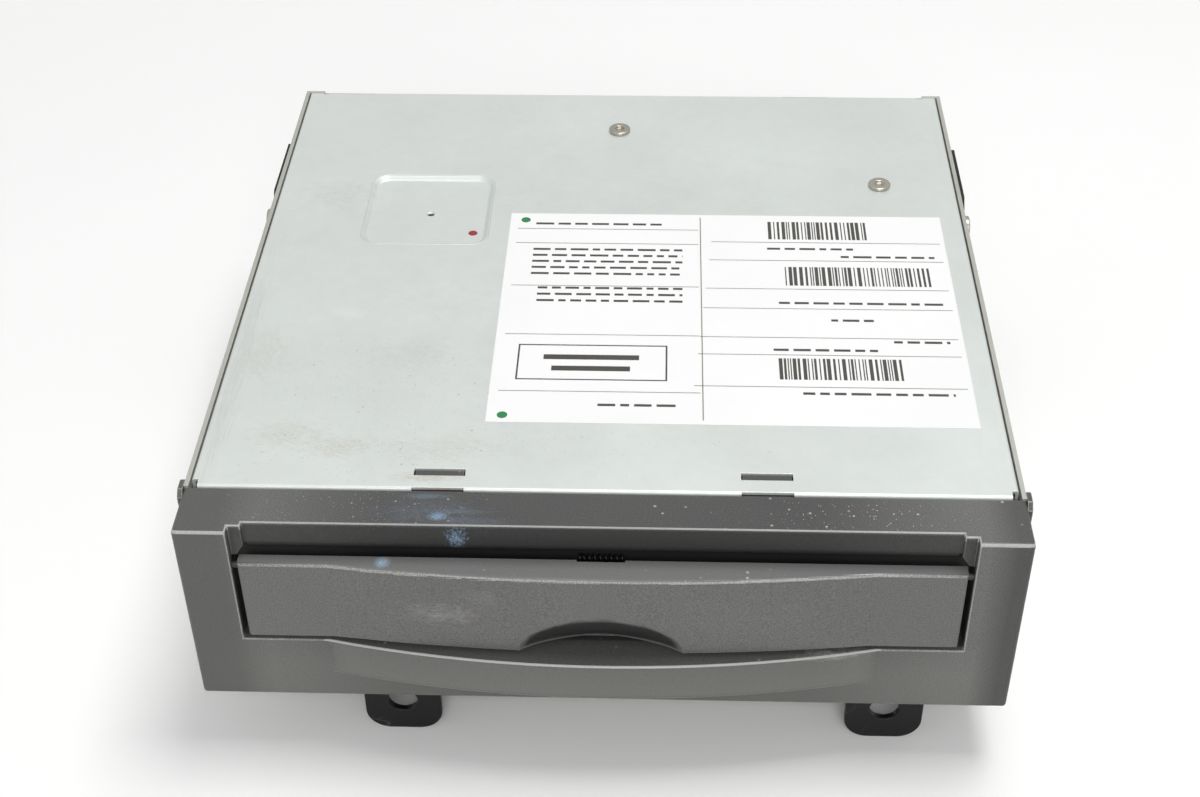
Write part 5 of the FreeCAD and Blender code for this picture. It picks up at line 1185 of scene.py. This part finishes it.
@dataclass
class Loader(SubAssembly):
    """Loader frame, floating deck, clamp and pickup."""

    rows: tuple[Row, ...] = (
        Row("loader_frame", FINISH.inner, "zinc_steel", 0.12, 1),
        Row("floating_deck", FINISH.inner, "zinc_steel", 0.12, 1),
        Row("disc_guide", FINISH.black_plastic, "black_plastic", 0.4, 3),
        Row("rubber_dampers", FINISH.rubber, "rubber", 0.4, 3),
        Row("deck_screws", FINISH.dark_screw, "dark_screw", 0.3),
        Row("spindle_motor", FINISH.motor, "motor_can", 0.4, 3),
        Row("guide_rods", FINISH.ground, "ground_steel", 0.3),
        Row("sled_motor", FINISH.motor, "motor_can", 0.4, 3),
        Row("turntable", FINISH.black_plastic, "black_plastic", 0.25, 2, "turntable"),
        Row("clamper", FINISH.acetal, "white_plastic", 0.3, 2, "clamper"),
        Row("clamp_arm", FINISH.inner, "zinc_steel", 0.15, 2, "clamp_arm"),
        Row("clamp_arm_rod", FINISH.ground, "ground_steel", 0.3),
        Row("pickup_body", FINISH.black_plastic, "black_plastic", 0.4, 2, "pickup"),
        Row("pickup_lens", FINISH.lens, "lens_glass", 0.5, 4, "pickup"))
    damper_places: tuple[tuple[float, float], ...] = ((-60, 62), (-60, 132), (60, 46), (60, 132))
    damper_foot: float = 30.3
    damper_wire: float = 0.28
    arm_coil_start: Triple = (-8.7, FRONT + 150.0, 57.0)
    arm_wire: float = 0.32
    thread_lead: float = 3.0
    thread_ends: tuple[float, float] = (6.5, 64.0)
    thread_depth: float = 0.32

    def build(self) -> None:
        """Dress every piece of the reading mechanism."""
        super().build()
        coils = [swept("damper_coil", helix((x, y + FRONT, self.damper_foot), Axis.Z, 4.7, 5.4,
                                            5.0), self.damper_wire, FINISH.spring, 8)
                 for x, y in self.damper_places]
        self.keep(joined("damper_coils", coils), "casing", "spring_steel", ["damper_springs"])
        arm = helix(self.arm_coil_start, Axis.X, 2.25, 17.4, 14.0)
        self.keep(swept("arm_coil", arm, self.arm_wire, FINISH.spring), "casing",
                  "spring_steel", ["clamp_spring"])
        self.thread()

    def thread(self) -> None:
        """Lead screw: radius falls and rises once for each advance by the lead along the axis."""
        low, high = (np.array(corner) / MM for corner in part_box("lead_screw"))
        middle, radius = (low + high) / 2, (high[2] - low[2]) / 2
        along = np.linspace(low[0], high[0], 560)
        around = np.linspace(0, 2 * np.pi, 20, endpoint=False)
        phase = (along[:, None] / self.thread_lead * 2 * np.pi - around[None, :]) % (2 * np.pi)
        groove = np.clip(1.4 - np.abs(phase - np.pi), 0, 0.9)
        inside = ((along > self.thread_ends[0]) & (along < self.thread_ends[1]))[:, None]
        size = radius - self.thread_depth * groove * inside
        points = np.empty((len(along), len(around), 3))
        points[..., 0] = along[:, None]
        points[..., 1] = middle[1] + size * np.cos(around)
        points[..., 2] = middle[2] + size * np.sin(around)
        ends = [(side, middle[1], middle[2]) for side in (low[0], high[0])]
        self.keep(tube("threaded_rod", points, ends, FINISH.ground), "lead_screw",
                  "ground_steel", ["lead_screw"])


@dataclass
class FeedTrain(SubAssembly):
    """Feed roller and gears."""

    rows: tuple[Row, ...] = (
        Row("roller_shaft", FINISH.ground, "ground_steel", 0.3, 2, "feed_roller"),
        Row("rubber_rollers", FINISH.rubber, "rubber", 0.5, 3, "feed_roller"),
        Row("roller_gear", FINISH.acetal, "white_plastic", 0.08, 1, "feed_roller"),
        Row("loading_gear", FINISH.acetal, "white_plastic", 0.08, 1, "loading_gear"),
        Row("motor_pinion", FINISH.brass, "brass_part", 0.06, 1, "motor_pinion"),
        Row("roller_bushes", FINISH.acetal, "white_plastic", 0.15),
        Row("gear_post", FINISH.ground, "ground_steel"),
        Row("loading_motor", FINISH.motor, "motor_can", 0.4, 3))


@dataclass
class Electronics(SubAssembly):
    """Main board, its parts and the rear sockets."""

    rows: tuple[Row, ...] = (
        Row("main_board", FINISH.board, "board_green", 0.1, 1),
        Row("processor", FINISH.chip, "chip_black"),
        Row("heat_sink", FINISH.sink, "heat_sink", 0.12, 1),
        Row("memory_chips", FINISH.chip, "chip_black", 0.15),
        Row("capacitors", FINISH.can, "capacitor_can", 0.5, 3),
        Row("tuner_shield", FINISH.tinned, "tinned_steel"),
        Row("turn_sensor", FINISH.chip, "chip_black"),
        Row("wiring_connector", FINISH.black_plastic, "black_plastic", 0.25),
        Row("connector_pins", FINISH.gold, "gold_pin", 0.12, 1),
        Row("positioning_socket", FINISH.acetal, "white_plastic", 0.3),
        Row("radio_socket", FINISH.acetal, "white_plastic", 0.3),
        Row("ribbon_cable", FINISH.ribbon, "ribbon", 0.05, 1))


class Lamp(NamedTuple):
    """An area lamp: place, aim and size in millimetres, power in watts."""

    name: str
    place: Triple
    aim: Triple
    size: float
    power: float


@dataclass
class Studio:
    """Floor, lamps, world and camera. Lengths are in millimetres and angles in degrees."""

    floor_colour: RGB = srgb(248, 247, 243)
    seen_colour: RGB = (1.0, 1.0, 0.985)
    near_floor: float = 260.0
    far_floor: float = 620.0
    floor_half: float = 1600.0
    bend: float = 900.0
    bend_radius: float = 700.0
    lamp_rows: tuple[Lamp, ...] = (
        Lamp("lamp_above", (240, 90, 1250), (0, 20, 0), 480, 7.6),
        Lamp("lamp_front", (60, -1250, 980), (0, 0, 30), 700, 8.8),
        Lamp("lamp_left", (-1200, -500, 900), (0, 0, 40), 800, 0.9))
    world_strength: float = 0.37
    white_strength: float = 0.97
    gloss_share: float = 0.6
    camera_place: Triple = (11.77, -366.83, 325.66)
    pitch: float = 39.02
    roll: float = -0.71
    yaw: float = 2.372
    lens: float = 55.28

    def build(self) -> None:
        """Make the studio."""
        self.floor()
        self.world()
        self.lamps()
        self.camera()

    def floor_finish(self) -> Material:
        """Pale paper: it shows the object's shadow nearby and fades to plain white far away.

        Returns:
            The material.
        """
        material = bpy.data.materials.new("floor_paper")
        w = Wiring.of(material)
        place = w.node("ShaderNodeTexCoord").outputs["Object"]
        tone = w.span(w.noise(place, 6.0, 4.0), 0.35, 0.65)
        colour = w.blend(tone, self.floor_colour,
                         tuple(part * 0.985 for part in self.floor_colour))
        seen = w.node("ShaderNodeLightPath").outputs["Is Camera Ray"]
        colour = w.blend(seen, colour, self.seen_colour)
        shader = w.node("ShaderNodeBsdfPrincipled", {"Base Color": colour, "Roughness": 0.6,
                                                     "Specular IOR Level": 0.2})
        away = w.node("ShaderNodeVectorMath", {0: place}, operation="LENGTH").outputs["Value"]
        far = w.product(w.span(away, self.near_floor * MM, self.far_floor * MM), seen)
        white = w.node("ShaderNodeEmission", {"Color": (1.0, 1.0, 0.99, 1.0),
                                              "Strength": self.white_strength})
        mixed = w.node("ShaderNodeMixShader", {0: far, 1: shader.outputs[0],
                                               2: white.outputs[0]})
        w.node("ShaderNodeOutputMaterial", {0: mixed.outputs[0]})
        return material

    def floor(self) -> None:
        """Floor sheet that curves up at the back: height is the square of the way past a line."""
        across = np.linspace(-self.floor_half, self.floor_half, 9)
        along = np.concatenate([np.linspace(-self.bend, self.bend, 10),
                                np.linspace(self.bend + 60, self.bend + 1000, 24)])
        x, y = np.meshgrid(across, along)
        z = np.clip(y - self.bend, 0, None) ** 2 / (2 * self.bend_radius) - 0.02
        mesh_piece("floor", np.stack([x, y, z], axis=-1).reshape(-1, 3),
                            grid_faces(len(along), len(across), False), self.floor_finish(),
                            closed=False)

    def world(self) -> None:
        """Even world: plain white to the camera and through glass, and dim as a light."""
        world = bpy.data.worlds.new("studio")
        bpy.context.scene.world = world
        w = Wiring.of(world)
        rays = w.node("ShaderNodeLightPath").outputs
        gloss = w.product(rays["Is Glossy Ray"], self.gloss_share)
        seen = w.maths("MAXIMUM", rays["Is Camera Ray"],
                       w.maths("MAXIMUM", rays["Is Transmission Ray"], gloss))
        dim = w.node("ShaderNodeBackground", {"Color": (0.97, 0.98, 1.0, 1.0),
                                              "Strength": self.world_strength})
        white = w.node("ShaderNodeBackground", {"Color": (1, 1, 1, 1),
                                                "Strength": self.white_strength})
        mix = w.node("ShaderNodeMixShader", {0: seen, 1: dim.outputs[0], 2: white.outputs[0]})
        w.node("ShaderNodeOutputWorld", {0: mix.outputs[0]})

    def lamps(self) -> None:
        """One broad lamp above, one in front and a weak one at the left."""
        for row in self.lamp_rows:
            data = bpy.data.lights.new(row.name, "AREA")
            data.size = row.size * MM
            data.energy = row.power
            lamp = bpy.data.objects.new(row.name, data)
            bpy.context.scene.collection.objects.link(lamp)
            lamp.location = Vector(row.place) * MM
            way = Vector(row.aim) - Vector(row.place)
            lamp.rotation_euler = way.to_track_quat("-Z", "Y").to_euler()

    def camera(self) -> None:
        """Camera at the photograph's viewing angle: turn, tip and roll in that order."""
        data = bpy.data.cameras.new("camera")
        data.sensor_width = 36.0
        data.lens = self.lens
        data.clip_start, data.clip_end = 0.01, 20.0
        camera = bpy.data.objects.new("camera", data)
        bpy.context.scene.collection.objects.link(camera)
        turn, tip, roll = (Matrix.Rotation(math.radians(angle), 4, axis) for angle, axis in
                           ((self.yaw, "Z"), (90 - self.pitch, "X"), (self.roll, "Z")))
        place = Matrix.Translation(Vector(self.camera_place) * MM)
        camera.matrix_world = place @ turn @ tip @ roll
        bpy.context.scene.camera = camera


def main() -> None:
    """Build every sub-assembly in order."""
    bpy.context.scene.view_settings.view_transform = "Standard"
    Studio().build()
    for part in (FrontPanel(), Casing(), Label(), Bracket(), Loader(), FeedTrain(),
                 Electronics()):
        part.build()
        part.report()


if __name__ == "__main__":
    main()
